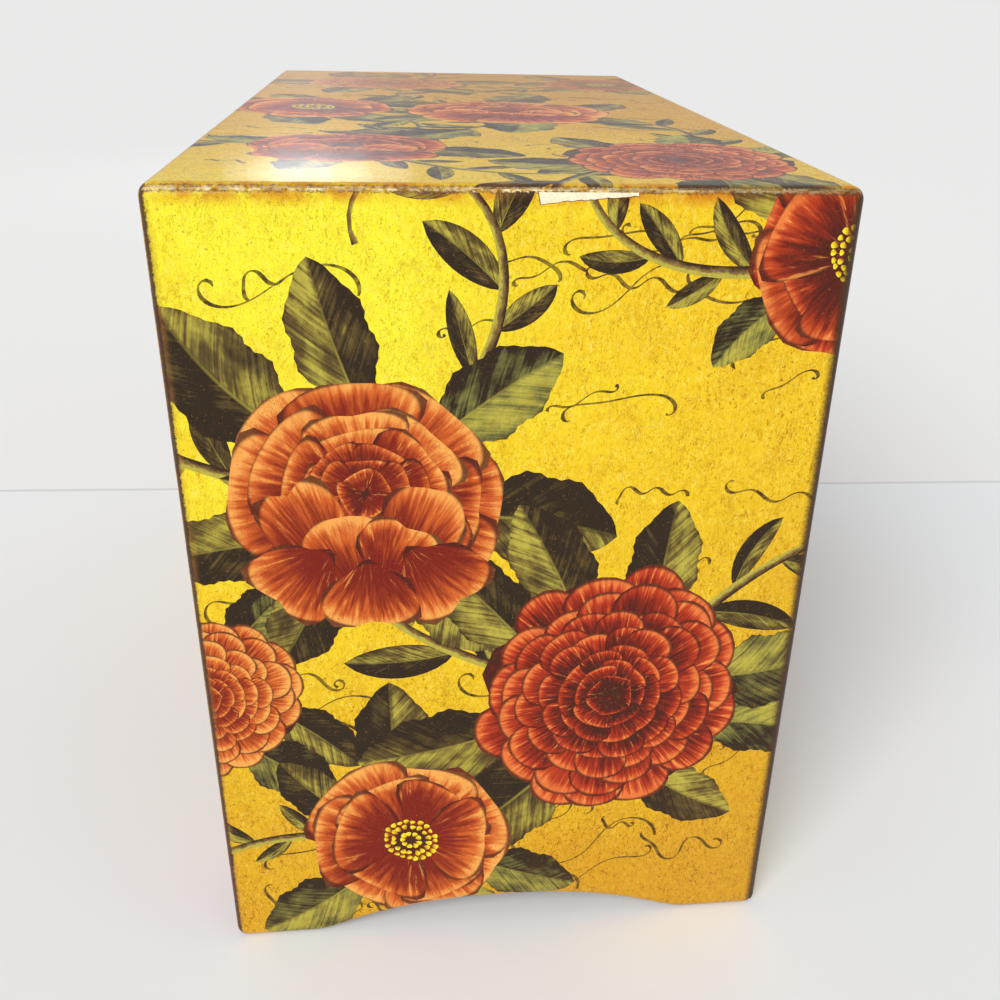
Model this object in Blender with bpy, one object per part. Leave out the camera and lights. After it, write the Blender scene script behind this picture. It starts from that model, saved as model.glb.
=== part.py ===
"""A small jewelry chest: a papered wooden case on arched feet, with three drawers that pull out at the front.

Metres, +Z up. X runs along the chest, the drawer fronts face -Y and the chest stands on Z = 0. The origin is
under the middle of the chest, its knobs included. Each drawer hangs on an empty at the middle of its bay's mouth
and slides along -Y.
"""

import math

import bmesh
import bpy
from mathutils import Matrix, Vector

# The case
CASE_LENGTH = 0.294
CASE_DEPTH = 0.152
CASE_HEIGHT = 0.209
END_THICKNESS = 0.009
TOP_THICKNESS = 0.009
BACK_THICKNESS = 0.006
SHELF_THICKNESS = 0.006
APRON_THICKNESS = 0.009
APRON_HEIGHT = 0.024
DADO_DEPTH = 0.003
REBATE_DEPTH = 0.004
EDGE_RADIUS = 0.003
EDGE_SEGMENTS = 3
EDGE_PROFILE_SHARE = 0.5

# The arched lower edges
FOOT_WIDTH = 0.0228
ARCH_RISE = 0.0093
ARCH_POINTS = 29
ARCH_POWER = 2.4
ARCH_START_SHARE = 0.06

# The bays, of which the lowest takes the height that is left
TOP_BAY_HEIGHT = 0.042
MIDDLE_BAY_HEIGHT = 0.052

# The drawer boxes
FRONT_THICKNESS = 0.009
FRONT_EDGE_RADIUS = 0.001
SIDE_THICKNESS = 0.006
DRAWER_BACK_THICKNESS = 0.006
DRAWER_BOTTOM_THICKNESS = 0.003
BOTTOM_LIFT = 0.003
GROOVE_DEPTH = 0.003
LAP_DEPTH = 0.004
HEADROOM = 0.004
LINING_THICKNESS = 0.0015

# The knobs and their screws
KNOB_SPACING = 0.150
KNOB_RADIUS = 0.0065
KNOB_REACH = 0.014
KNOB_BORE_DEPTH = 0.007
SCREW_RADIUS = 0.0015
SCREW_TIP_ROOM = 0.001
SCREW_HEAD_RADIUS = 0.003
SCREW_HEAD_HEIGHT = 0.0018
SCREW_RECESS_DEPTH = 0.0024
SCREW_SLOT_WIDTH = 0.0008
SCREW_SLOT_DEPTH = 0.0008
ROUND_STEPS = 20
# Each point of a knob's outline, from its foot outwards, as shares of its radius and of its reach
KNOB_OUTLINE_SHARES = (
    (0.62, 0.0),
    (0.66, 0.06),
    (0.60, 0.12),
    (0.40, 0.20),
    (0.36, 0.34),
    (0.52, 0.46),
    (0.86, 0.57),
    (1.0, 0.69),
    (0.95, 0.82),
    (0.72, 0.93),
    (0.38, 0.985),
    (0.0, 1.0),
)
# Each point of a screw's head, from its middle to its rim, as shares of its radius and of its height
SCREW_CROWN_SHARES = ((0.5, 1.0), (0.85, 0.8), (1.0, 0.45))

# What is inside the drawers
DIVIDER_THICKNESS = 0.004
RING_SECTION_WIDTH = 0.096
RING_ROLL_COUNT = 6
RING_ROLL_HEIGHT = 0.021
RING_ROLL_STEPS = 14
RING_ROLL_SHOULDER_SHARE = 0.4
CROSS_DIVIDER_HEIGHT = 0.026
GRID_DIVIDER_HEIGHT = 0.032
GRID_COLUMNS = 3

# Clearances
GLUE_GAP = 0.0003
REVEAL = 0.001
SIDE_CLEARANCE = 0.0014
RUNNING_GAP = 0.0004
REAR_CLEARANCE = 0.001
LINING_CLEARANCE = 0.0005
ROLL_CLEARANCE = 0.0008
OVERRUN = 0.001
WELD_DISTANCE = 0.00001
SHARP_ANGLE = math.radians(40)

# Places that several pieces share
FRONT_Y = (KNOB_REACH - CASE_DEPTH) / 2
BACK_Y = FRONT_Y + CASE_DEPTH
BAY_BACK_Y = BACK_Y - BACK_THICKNESS
BAY_HALF = CASE_LENGTH / 2 - END_THICKNESS
UNDER_TOP = CASE_HEIGHT - TOP_THICKNESS
LOWEST_FLOOR = APRON_HEIGHT + SHELF_THICKNESS
MIDDLE_FLOOR = UNDER_TOP - TOP_BAY_HEIGHT - SHELF_THICKNESS - MIDDLE_BAY_HEIGHT
TOP_FLOOR = UNDER_TOP - TOP_BAY_HEIGHT

# Places in a drawer, from the middle of its bay's mouth
BOX_HALF = BAY_HALF - SIDE_CLEARANCE
BOX_INNER_HALF = BOX_HALF - SIDE_THICKNESS
BOX_REAR_Y = CASE_DEPTH - BACK_THICKNESS - REAR_CLEARANCE
BOX_INNER_REAR_Y = BOX_REAR_Y - DRAWER_BACK_THICKNESS
BOTTOM_Z = RUNNING_GAP + BOTTOM_LIFT
LINING_Z = BOTTOM_Z + DRAWER_BOTTOM_THICKNESS + GLUE_GAP
INSERT_Z = LINING_Z + LINING_THICKNESS + GLUE_GAP
PARTITION_X = -BOX_INNER_HALF + RING_SECTION_WIDTH


def finish(name, colour, roughness, metallic=0.0):
    """A plain material of one colour."""
    made = bpy.data.materials.new(name)
    made.use_nodes = True
    shader = made.node_tree.nodes["Principled BSDF"]
    shader.inputs["Base Color"].default_value = (*colour, 1)
    shader.inputs["Roughness"].default_value = roughness
    shader.inputs["Metallic"].default_value = metallic
    return made


def add_object(name, shape, skin, parent, location=(0, 0, 0), turn=0):
    """The object made from a bmesh, at its place under its parent and turned about Z."""
    mesh = bpy.data.meshes.new(name)
    shape.to_mesh(mesh)
    shape.free()
    mesh.materials.append(skin)
    made = bpy.data.objects.new(name, mesh)
    bpy.context.scene.collection.objects.link(made)
    made.parent = parent
    made.location = location
    made.rotation_euler.z = turn
    return made


def add_empty(name, parent=None, location=(0, 0, 0)):
    made = bpy.data.objects.new(name, None)
    bpy.context.scene.collection.objects.link(made)
    made.parent = parent
    made.location = location
    return made


def both_ways(half):
    return (-half, half)


def on_side(side, inner, outer):
    """The span from inner to outer, measured from the middle towards one side, as (low, high)."""
    return tuple(sorted((side * inner, side * outer)))


def board(name, x, y, z, skin, parent, round_edges=None, radius=0.0):
    """A board over three (low, high) spans, its origin at its middle, with the edges that are asked for rounded."""
    low, high = (Vector(corner) for corner in zip(x, y, z))
    shape = bmesh.new()
    bmesh.ops.create_cube(shape, size=1, matrix=Matrix.Diagonal((high - low).to_4d()))
    if round_edges:
        round_over(shape, [edge for edge in shape.edges if round_edges(edge)], radius)
    return add_object(name, shape, skin, parent, (low + high) / 2)


def round_over(shape, edges, radius):
    bmesh.ops.bevel(
        shape,
        geom=edges,
        offset=radius,
        segments=EDGE_SEGMENTS,
        profile=EDGE_PROFILE_SHARE,
        affect="EDGES",
        clamp_overlap=True,
    )
    bmesh.ops.remove_doubles(shape, verts=shape.verts, dist=WELD_DISTANCE)


def cut(target, tool):
    """Takes a tool away from an object, and hides the tool."""
    tool.hide_render = True
    tool.display_type = "WIRE"
    difference = target.modifiers.new(tool.name, "BOOLEAN")
    difference.operation = "DIFFERENCE"
    difference.object = tool


def cut_block(target, label, x, y, z):
    cut(target, board(f"{target.name}_{label}", x, y, z, None, target.parent))


def outline_points(outline, shape, depth):
    return [shape.verts.new((across, depth, up)) for across, up in outline]


def extruded(outline, thickness):
    """A bmesh of an (X, Z) outline that runs anticlockwise seen from -Y, from Y = 0 to the thickness."""
    shape = bmesh.new()
    near = outline_points(outline, shape, 0)
    far = outline_points(outline, shape, thickness)
    shape.faces.new(near)
    shape.faces.new(reversed(far))
    for here, one in enumerate(near):
        after = (here + 1) % len(near)
        shape.faces.new((near[after], one, far[here], far[after]))
    shape.normal_update()
    return shape


def arch_rise(along):
    """How high an arch is at a share of the way to its middle: a soft start, then an ever flatter climb."""
    soft = math.hypot(along, ARCH_START_SHARE) - ARCH_START_SHARE
    whole = math.hypot(1, ARCH_START_SHARE) - ARCH_START_SHARE
    return ARCH_RISE * (1 - (1 - soft / whole) ** ARCH_POWER)


def arched_outline(length, height, foot):
    """The outline of a board that stands on two feet, with an arch between them."""
    half_span = length / 2 - foot
    outline = [(-length / 2, 0)]
    for step in range(ARCH_POINTS):
        across = 2 * half_span * step / (ARCH_POINTS - 1) - half_span
        outline.append((across, arch_rise(1 - abs(across) / half_span)))
    return outline + [(length / 2, 0), (length / 2, height), (-length / 2, height)]


def arched_board(name, length, height, thickness, foot, skin, parent, location, turn, round_sides=False):
    """A board on two feet. Its outer face is at local Y = 0, and the lower edge of that face is rounded."""

    def is_rounded(edge):
        on_face = all(alike(point.co.y, 0) for point in edge.verts)
        at_top = all(alike(point.co.z, height) for point in edge.verts)
        at_side = all(alike(abs(point.co.x), length / 2) for point in edge.verts)
        at_foot = all(alike(point.co.z, 0) for point in edge.verts)
        if at_side and not at_top:
            return round_sides and (on_face or at_foot)
        return on_face and not at_top

    shape = extruded(arched_outline(length, height, foot), thickness)
    round_over(shape, [edge for edge in shape.edges if is_rounded(edge)], EDGE_RADIUS)
    return add_object(name, shape, skin, parent, location, turn)


def alike(one, other):
    """Whether two lengths are the same, but for a mesh's rounding."""
    return abs(one - other) < WELD_DISTANCE


def turned(name, outline, skin, parent, location):
    """A round piece about a line along Y. The outline's points are (radius, distance towards -Y)."""
    shape = bmesh.new()
    points = [shape.verts.new((radius, -reach, 0)) for radius, reach in outline]
    edges = [shape.edges.new(pair) for pair in zip(points, points[1:])]
    bmesh.ops.spin(
        shape,
        geom=points + edges,
        cent=(0, 0, 0),
        axis=(0, 1, 0),
        angle=math.tau,
        steps=ROUND_STEPS,
        use_merge=True,
    )
    bmesh.ops.remove_doubles(shape, verts=shape.verts, dist=WELD_DISTANCE)
    bmesh.ops.recalc_face_normals(shape, faces=shape.faces)
    made = add_object(name, shape, skin, parent, location)
    made.data.shade_smooth()
    made.data.set_sharp_from_angle(angle=SHARP_ANGLE)
    return made


def end_panel(name, side, skin, case):
    """An end of the case, grooved for the bottom and the shelves and rebated for the back."""
    panel = arched_board(
        name,
        CASE_DEPTH,
        UNDER_TOP - GLUE_GAP,
        END_THICKNESS,
        FOOT_WIDTH,
        skin,
        case,
        location=(side * CASE_LENGTH / 2, (FRONT_Y + BACK_Y) / 2, 0),
        turn=side * math.pi / 2,
        round_sides=True,
    )
    for label, floor in shelves():
        cut_block(
            panel,
            f"dado_{label}",
            on_side(side, BAY_HALF - OVERRUN, BAY_HALF + DADO_DEPTH),
            (FRONT_Y - OVERRUN, BAY_BACK_Y + OVERRUN),
            (floor - GLUE_GAP, floor + SHELF_THICKNESS + GLUE_GAP),
        )
    cut_block(
        panel,
        "rebate",
        on_side(side, BAY_HALF - OVERRUN, BAY_HALF + REBATE_DEPTH),
        (BAY_BACK_Y - GLUE_GAP, BACK_Y + OVERRUN),
        (-OVERRUN, CASE_HEIGHT),
    )
    return panel


def shelves():
    """The boards that run across inside the case, each as its name and the height of its underside."""
    return (
        ("bottom_panel", APRON_HEIGHT),
        ("lower_shelf", MIDDLE_FLOOR - SHELF_THICKNESS),
        ("upper_shelf", TOP_FLOOR - SHELF_THICKNESS),
    )


def add_shelves(skin, case):
    for name, floor in shelves():
        board(
            name,
            both_ways(BAY_HALF + DADO_DEPTH - GLUE_GAP),
            (FRONT_Y, BAY_BACK_Y - GLUE_GAP),
            (floor, floor + SHELF_THICKNESS),
            skin,
            case,
        )


def top_panel(skin, case):
    """The top, which covers the ends and the back. All its edges but the lower ones are rounded."""
    board(
        "top_panel",
        both_ways(CASE_LENGTH / 2),
        (FRONT_Y, BACK_Y),
        (UNDER_TOP, CASE_HEIGHT),
        skin,
        case,
        round_edges=lambda edge: any(point.co.z > 0 for point in edge.verts),
        radius=EDGE_RADIUS,
    )


def back_panel(skin, case):
    """The back, which stands in the rebates of the ends, under the top."""
    half = BAY_HALF + REBATE_DEPTH - GLUE_GAP
    arched_board(
        "back_panel",
        2 * half,
        UNDER_TOP - GLUE_GAP,
        BACK_THICKNESS,
        half - CASE_LENGTH / 2 + FOOT_WIDTH,
        skin,
        case,
        location=(0, BACK_Y, 0),
        turn=math.pi,
    )


def front_apron(skin, case):
    """The arched skirt under the bottom panel, between the ends."""
    half = BAY_HALF - GLUE_GAP
    arched_board(
        "front_apron",
        2 * half,
        APRON_HEIGHT - GLUE_GAP,
        APRON_THICKNESS,
        half - CASE_LENGTH / 2 + FOOT_WIDTH,
        skin,
        case,
        location=(0, FRONT_Y, 0),
        turn=0,
    )


def drawer_front(drawer, height, skin, slide):
    """A drawer's front, lapped at its back for the sides, grooved for the bottom and drilled for the knob screws."""
    front = board(
        f"{drawer}_drawer_front",
        both_ways(BAY_HALF - REVEAL),
        (0, FRONT_THICKNESS),
        (REVEAL, height - REVEAL),
        skin,
        slide,
        round_edges=lambda edge: all(point.co.y < 0 for point in edge.verts),
        radius=FRONT_EDGE_RADIUS,
    )
    for side in (-1, 1):
        cut_block(
            front,
            f"lap{side}",
            on_side(side, BOX_INNER_HALF - GLUE_GAP, BAY_HALF + OVERRUN),
            (FRONT_THICKNESS - LAP_DEPTH, FRONT_THICKNESS + OVERRUN),
            (-OVERRUN, height + OVERRUN),
        )
        place = (side * KNOB_SPACING / 2, 0, height / 2)
        cut(front, turned(f"{drawer}_drill{side}", drill_outline(), None, slide, place))
    cut_block(
        front,
        "groove",
        both_ways(BOX_INNER_HALF + GLUE_GAP),
        (FRONT_THICKNESS - GROOVE_DEPTH, FRONT_THICKNESS + OVERRUN),
        (BOTTOM_Z - GLUE_GAP, BOTTOM_Z + DRAWER_BOTTOM_THICKNESS + GLUE_GAP),
    )


def drill_outline():
    """The hole for a knob screw, with a wider recess for its head at the back of the drawer's front."""
    hole = SCREW_RADIUS + GLUE_GAP
    recess = SCREW_HEAD_RADIUS + GLUE_GAP
    floor = SCREW_RECESS_DEPTH - FRONT_THICKNESS
    back = -FRONT_THICKNESS - OVERRUN
    return ((0, back), (recess, back), (recess, floor), (hole, floor), (hole, OVERRUN), (0, OVERRUN))


def drawer_side(name, side, height, skin, slide):
    """One side of a drawer's box, grooved for the bottom."""
    front_end = FRONT_THICKNESS - LAP_DEPTH + GLUE_GAP
    wall = board(
        name,
        on_side(side, BOX_INNER_HALF, BOX_HALF),
        (front_end, BOX_REAR_Y),
        (RUNNING_GAP, height - HEADROOM),
        skin,
        slide,
    )
    cut_block(
        wall,
        "groove",
        on_side(side, BOX_INNER_HALF - OVERRUN, BOX_INNER_HALF + GROOVE_DEPTH),
        (front_end - OVERRUN, BOX_REAR_Y + OVERRUN),
        (BOTTOM_Z - GLUE_GAP, BOTTOM_Z + DRAWER_BOTTOM_THICKNESS + GLUE_GAP),
    )


def drawer_bottom(drawer, skin, slide):
    """The thin bottom, which slides in its grooves from the rear, under the drawer's back."""
    board(
        f"{drawer}_drawer_bottom",
        both_ways(BOX_INNER_HALF + GROOVE_DEPTH - GLUE_GAP),
        (FRONT_THICKNESS - GROOVE_DEPTH + GLUE_GAP, BOX_REAR_Y),
        (BOTTOM_Z, BOTTOM_Z + DRAWER_BOTTOM_THICKNESS),
        skin,
        slide,
    )


def drawer_back(drawer, height, skin, slide):
    board(
        f"{drawer}_drawer_back",
        both_ways(BOX_INNER_HALF - GLUE_GAP),
        (BOX_INNER_REAR_Y, BOX_REAR_Y),
        (LINING_Z, height - HEADROOM),
        skin,
        slide,
    )


def drawer_lining(drawer, skin, slide):
    """The felt that covers the bottom inside a drawer."""
    board(
        f"{drawer}_drawer_lining",
        both_ways(BOX_INNER_HALF - LINING_CLEARANCE),
        (FRONT_THICKNESS + LINING_CLEARANCE, BOX_INNER_REAR_Y - LINING_CLEARANCE),
        (LINING_Z, LINING_Z + LINING_THICKNESS),
        skin,
        slide,
    )


def knob(name, place, skin, slide):
    """A turned knob with a blind bore for its screw. Its foot stands just clear of the drawer's front."""
    bore = SCREW_RADIUS + GLUE_GAP
    reach = KNOB_REACH - GLUE_GAP
    outline = [(0, KNOB_BORE_DEPTH), (bore, KNOB_BORE_DEPTH), (bore, 0)]
    outline += [(KNOB_RADIUS * wide, reach * far) for wide, far in KNOB_OUTLINE_SHARES]
    turned(name, outline, skin, slide, place - Vector((0, GLUE_GAP, 0)))


def knob_screw(name, place, skin, slide):
    """A slotted screw from inside the drawer, through its front and into the knob."""
    seat = SCREW_RECESS_DEPTH - FRONT_THICKNESS - GLUE_GAP
    tip = GLUE_GAP + KNOB_BORE_DEPTH - SCREW_TIP_ROOM
    outline = [(0, seat - SCREW_HEAD_HEIGHT)]
    outline += [(SCREW_HEAD_RADIUS * wide, seat - SCREW_HEAD_HEIGHT * up) for wide, up in SCREW_CROWN_SHARES]
    outline += [(SCREW_HEAD_RADIUS, seat), (SCREW_RADIUS, seat)]
    outline += [(SCREW_RADIUS, tip - SCREW_RADIUS / 2), (SCREW_RADIUS / 2, tip), (0, tip)]
    screw = turned(name, outline, skin, slide, place)
    head_end = place.y - seat + SCREW_HEAD_HEIGHT
    cut_block(
        screw,
        "slot",
        (place.x - SCREW_HEAD_RADIUS - OVERRUN, place.x + SCREW_HEAD_RADIUS + OVERRUN),
        (head_end - SCREW_SLOT_DEPTH, head_end + OVERRUN),
        (place.z - SCREW_SLOT_WIDTH / 2, place.z + SCREW_SLOT_WIDTH / 2),
    )


def ring_roll_outline(width):
    """The (X, Z) outline of a padded roll seen from its end: upright shoulders under an elliptic crown."""
    shoulder = RING_ROLL_HEIGHT * RING_ROLL_SHOULDER_SHARE
    outline = [(-width / 2, 0), (width / 2, 0)]
    for step in range(RING_ROLL_STEPS + 1):
        angle = math.pi * step / RING_ROLL_STEPS
        outline.append((width / 2 * math.cos(angle), shoulder + (RING_ROLL_HEIGHT - shoulder) * math.sin(angle)))
    return outline


def ring_rolls(skin, slide):
    """A row of padded rolls along the left of the top drawer, which hold rings in the slits between them."""
    pitch = (BOX_INNER_REAR_Y - FRONT_THICKNESS - GLUE_GAP) / RING_ROLL_COUNT
    first_y = FRONT_THICKNESS + GLUE_GAP + pitch / 2
    length = RING_SECTION_WIDTH - DIVIDER_THICKNESS / 2 - 2 * LINING_CLEARANCE
    for number in range(RING_ROLL_COUNT):
        roll = add_object(
            f"ring_roll_{number + 1}",
            extruded(ring_roll_outline(pitch - ROLL_CLEARANCE), length),
            skin,
            slide,
            location=(-BOX_INNER_HALF + LINING_CLEARANCE, first_y + number * pitch, INSERT_Z),
            turn=-math.pi / 2,
        )
        roll.data.shade_smooth()
        roll.data.set_sharp_from_angle(angle=SHARP_ANGLE)


def divider(name, x, y, height, skin, slide):
    """An upright partition that stands on a drawer's lining."""
    return board(name, x, y, (INSERT_Z, INSERT_Z + height), skin, slide)


def top_drawer_dividers(skin, slide):
    """The partition beside the ring rolls, and the one across the room that is left."""
    half = DIVIDER_THICKNESS / 2
    middle_y = (FRONT_THICKNESS + BOX_INNER_REAR_Y) / 2
    divider(
        "top_drawer_partition",
        (PARTITION_X - half, PARTITION_X + half),
        (FRONT_THICKNESS + GLUE_GAP, BOX_INNER_REAR_Y - GLUE_GAP),
        CROSS_DIVIDER_HEIGHT,
        skin,
        slide,
    )
    divider(
        "top_drawer_cross_divider",
        (PARTITION_X + half + GLUE_GAP, BOX_INNER_HALF - GLUE_GAP),
        (middle_y - half, middle_y + half),
        CROSS_DIVIDER_HEIGHT,
        skin,
        slide,
    )


def middle_drawer_grid(skin, slide):
    """A long divider and shorter ones across it, halved into each other like the walls of an egg crate."""
    half = DIVIDER_THICKNESS / 2
    middle_y = (FRONT_THICKNESS + BOX_INNER_REAR_Y) / 2
    half_height = INSERT_Z + GRID_DIVIDER_HEIGHT / 2
    long_wall = divider(
        "middle_drawer_long_divider",
        both_ways(BOX_INNER_HALF - GLUE_GAP),
        (middle_y - half, middle_y + half),
        GRID_DIVIDER_HEIGHT,
        skin,
        slide,
    )
    for number in range(1, GRID_COLUMNS):
        x = 2 * BOX_INNER_HALF * number / GRID_COLUMNS - BOX_INNER_HALF
        cut_block(
            long_wall,
            f"notch{number}",
            (x - half - GLUE_GAP, x + half + GLUE_GAP),
            (middle_y - half - OVERRUN, middle_y + half + OVERRUN),
            (half_height, INSERT_Z + GRID_DIVIDER_HEIGHT + OVERRUN),
        )
        short_wall = divider(
            f"middle_drawer_cross_divider_{number}",
            (x - half, x + half),
            (FRONT_THICKNESS + GLUE_GAP, BOX_INNER_REAR_Y - GLUE_GAP),
            GRID_DIVIDER_HEIGHT,
            skin,
            slide,
        )
        cut_block(
            short_wall,
            "notch",
            (x - half - OVERRUN, x + half + OVERRUN),
            (middle_y - half - GLUE_GAP, middle_y + half + GLUE_GAP),
            (INSERT_Z - OVERRUN, half_height + GLUE_GAP),
        )


def drawer(name, floor, height, skins, case):
    """One drawer with its knobs, on an empty at the middle of its bay's mouth."""
    slide = add_empty(f"{name}_drawer_slide", case, (0, FRONT_Y, floor))
    drawer_front(name, height, skins["paper"], slide)
    drawer_bottom(name, skins["wood"], slide)
    drawer_back(name, height, skins["wood"], slide)
    drawer_lining(name, skins["felt"], slide)
    for label, side in (("left", -1), ("right", 1)):
        drawer_side(f"{name}_drawer_{label}_side", side, height, skins["wood"], slide)
        place = Vector((side * KNOB_SPACING / 2, 0, height / 2))
        knob(f"{name}_drawer_{label}_knob", place, skins["brass"], slide)
        knob_screw(f"{name}_drawer_{label}_screw", place, skins["steel"], slide)
    return slide


def build():
    for old in list(bpy.data.objects):
        bpy.data.objects.remove(old)
    skins = {
        "paper": finish("varnished_paper", (0.62, 0.42, 0.10), 0.25),
        "wood": finish("bare_wood", (0.55, 0.38, 0.22), 0.6),
        "brass": finish("brass", (0.62, 0.45, 0.18), 0.3, metallic=1.0),
        "steel": finish("steel", (0.55, 0.55, 0.55), 0.35, metallic=1.0),
        "felt": finish("felt", (0.20, 0.035, 0.03), 0.95),
    }
    case = add_empty("case")
    end_panel("left_end_panel", -1, skins["paper"], case)
    end_panel("right_end_panel", 1, skins["paper"], case)
    top_panel(skins["paper"], case)
    back_panel(skins["paper"], case)
    front_apron(skins["paper"], case)
    add_shelves(skins["wood"], case)
    top_slide = drawer("top", TOP_FLOOR, TOP_BAY_HEIGHT, skins, case)
    middle_slide = drawer("middle", MIDDLE_FLOOR, MIDDLE_BAY_HEIGHT, skins, case)
    drawer("bottom", LOWEST_FLOOR, MIDDLE_FLOOR - SHELF_THICKNESS - LOWEST_FLOOR, skins, case)
    ring_rolls(skins["felt"], top_slide)
    top_drawer_dividers(skins["wood"], top_slide)
    middle_drawer_grid(skins["wood"], middle_slide)


build()
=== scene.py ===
"""The looks of a papered jewelry chest: an old varnished flower print over a wooden case with three drawers.

Metres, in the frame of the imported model. Each sheet of paper is drawn flat, in millimetres from the lower
left corner of the face that it covers. It is then laid on that face and turned over its rounded edges.
"""

import math
import random

import bmesh
import bpy
import numpy
from mathutils import Matrix, Vector
from mathutils.geometry import delaunay_2d_cdt


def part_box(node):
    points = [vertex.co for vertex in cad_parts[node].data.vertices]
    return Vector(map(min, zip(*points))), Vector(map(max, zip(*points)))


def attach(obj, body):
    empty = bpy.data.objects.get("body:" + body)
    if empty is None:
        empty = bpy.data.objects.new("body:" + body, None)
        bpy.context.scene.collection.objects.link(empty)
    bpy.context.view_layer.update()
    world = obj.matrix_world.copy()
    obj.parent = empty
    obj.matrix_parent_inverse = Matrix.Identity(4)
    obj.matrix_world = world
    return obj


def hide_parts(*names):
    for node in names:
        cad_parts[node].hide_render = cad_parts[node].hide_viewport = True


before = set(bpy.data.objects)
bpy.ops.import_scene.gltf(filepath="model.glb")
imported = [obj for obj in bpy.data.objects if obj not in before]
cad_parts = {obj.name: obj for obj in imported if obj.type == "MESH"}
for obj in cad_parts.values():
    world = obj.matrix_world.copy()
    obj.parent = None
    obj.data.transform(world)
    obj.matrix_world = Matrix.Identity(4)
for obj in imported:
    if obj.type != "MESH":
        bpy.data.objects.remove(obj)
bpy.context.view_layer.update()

MM = 0.001
DRAWERS = ("top", "middle", "bottom")

# The sheets of paper, in millimetres
EDGE_RADIUS = 3.0
DRAWER_EDGE_RADIUS = 1.0
PAPER_THICKNESS = 0.25
BOARD_INSET = 0.3
SEAM_TURN = math.radians(45)
FOOT_TURN = math.radians(75)
DRAWER_TURN = math.radians(60)
FOLD_STEPS = 4
WEAR_LINES = (2.7, 4.4)
OUTLINE_STEP = 2.0
ARCH_LIMIT = 16.0
WELD = 0.0001
TINY = 0.00001
KNOB_ROUNDS = 40
KNOB_FINENESS = 5
BRIGHT_FALL_SHARE = 0.78
SHEET_SHARP = math.radians(40)
TURNED_SHARP = math.radians(50)

# The drawing, in millimetres and shares
EGG_SHARE = 0.45
LEAF_POWER = 0.8
PETAL_STEPS = 22
SMALL_PETAL = 12.0
SMALL_PETAL_STEPS = 13
PEN_LENGTHS = (14, 52)
LEFT_END_STROKES = 64
GROUND_PER_STROKE = 900
BUNCH_ROOM = 74
TOP_BUNCH_ROOM = 96
SHEET_SEEDS = {"right_end_paper": 11, "front_frame_paper": 23, "back_paper": 31, "top_paper": 43}
FIRST_DRAWER_SEED = 53
TEAR_SHARES = (0.536, 0.672)
TEAR_DEPTH = 2.6
TEAR_RISE = 1.9
TEAR_BORDER = 0.16

# Rings of petals: their reach as a share of the flower's radius, their count, and for some their breadth
DAHLIA_RINGS = ((1.0, 15), (0.85, 15), (0.70, 14), (0.55, 12), (0.41, 10), (0.28, 8), (0.16, 5))
ROSE_RINGS = ((1.0, 8, 1.0), (0.80, 7, 1.02), (0.60, 6, 1.0))
ROSE_HEART_RINGS = ((0.42, 6), (0.30, 5), (0.18, 4))
ANEMONE_RINGS = ((1.0, 7, 1.06), (0.78, 6, 1.1))
STAMEN_RINGS = ((0.27, 22), (0.20, 16), (0.11, 9))

# The rose's cupped and folded petals: how far to one side and how far up or down each one leans
CUPPED_PETALS = ((-1, 0.14), (0.9, 0.10), (-0.4, -0.10), (0.5, -0.16))
FOLDED_PETALS = ((-0.9, 0.80), (0.9, 0.84), (0.0, 1.0))

# Bunches on the left end: kind, place as shares of the sheet, radius, tone, leaves, vines and the vines' aim
LEFT_END_BUNCHES = (
    ("anemone", 1.00, 0.93, 27, 0.35, 5, 1, 3.4),
    ("dahlia", 0.00, 0.40, 27, 0.90, 5, 0, None),
    ("anemone", 0.33, 0.16, 30, 0.80, 6, 1, 3.0),
    ("rose", 0.28, 0.66, 35, 0.70, 7, 2, 1.0),
    ("dahlia", 0.68, 0.38, 40, 0.08, 8, 2, 0.9),
)

# Colours of the print
LEMON = (0.96, 0.86, 0.030)
GOLD = (0.90, 0.60, 0.012)
OCHRE = (0.72, 0.37, 0.010)
STAIN = (0.30, 0.12, 0.02)
UMBER = (0.055, 0.022, 0.009)
CREAM = (0.90, 0.80, 0.52)
TORN = (0.96, 0.92, 0.68)
PALE = (0.97, 0.84, 0.16)
TICK = (0.54, 0.36, 0.16)
# Varnish brown, which the print darkens towards far from a sheet's bright point, partly as painted shade
VARNISH_AND_SHADE = (0.42, 0.20, 0.030)
BLOTCH = (0.70, 0.48, 0.26)
AMBER = (0.72, 0.26, 0.012)
MAROON = (0.075, 0.012, 0.006)
CRIMSON = (0.22, 0.014, 0.005)
SCARLET = (0.52, 0.045, 0.010)
CORAL = (0.84, 0.20, 0.045)
RUST = (0.33, 0.036, 0.007)
ORANGE = (0.66, 0.125, 0.018)
APRICOT = (0.95, 0.42, 0.09)
DARK_OLIVE = (0.030, 0.017, 0.007)
OLIVE = (0.13, 0.085, 0.020)
SAGE = (0.16, 0.155, 0.040)
STRAW = (0.50, 0.43, 0.060)
SEPIA = (0.045, 0.020, 0.007)
TAN = (0.26, 0.16, 0.045)

# Colours of the other materials, the deeper or duller one first
WOOD = (0.16, 0.085, 0.035), (0.42, 0.26, 0.13)
BRASS = (0.26, 0.13, 0.03), (0.74, 0.44, 0.10)
STEEL = (0.20, 0.18, 0.16), (0.52, 0.51, 0.49)
FELT = (0.10, 0.012, 0.010), (0.26, 0.045, 0.035)
VELVET = (0.12, 0.014, 0.014), (0.30, 0.05, 0.045)
SHEEN = (1.0, 0.55, 0.5)
FLOOR_TONES = (0.92, 0.945, 0.96), (0.94, 0.965, 0.98)
FLOOR_PAST_LINE = (0.95, 0.95, 0.945)
# Painted shade along the line where a wall would meet the floor
CORNER_SHADE = (0.55, 0.55, 0.56)

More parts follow.
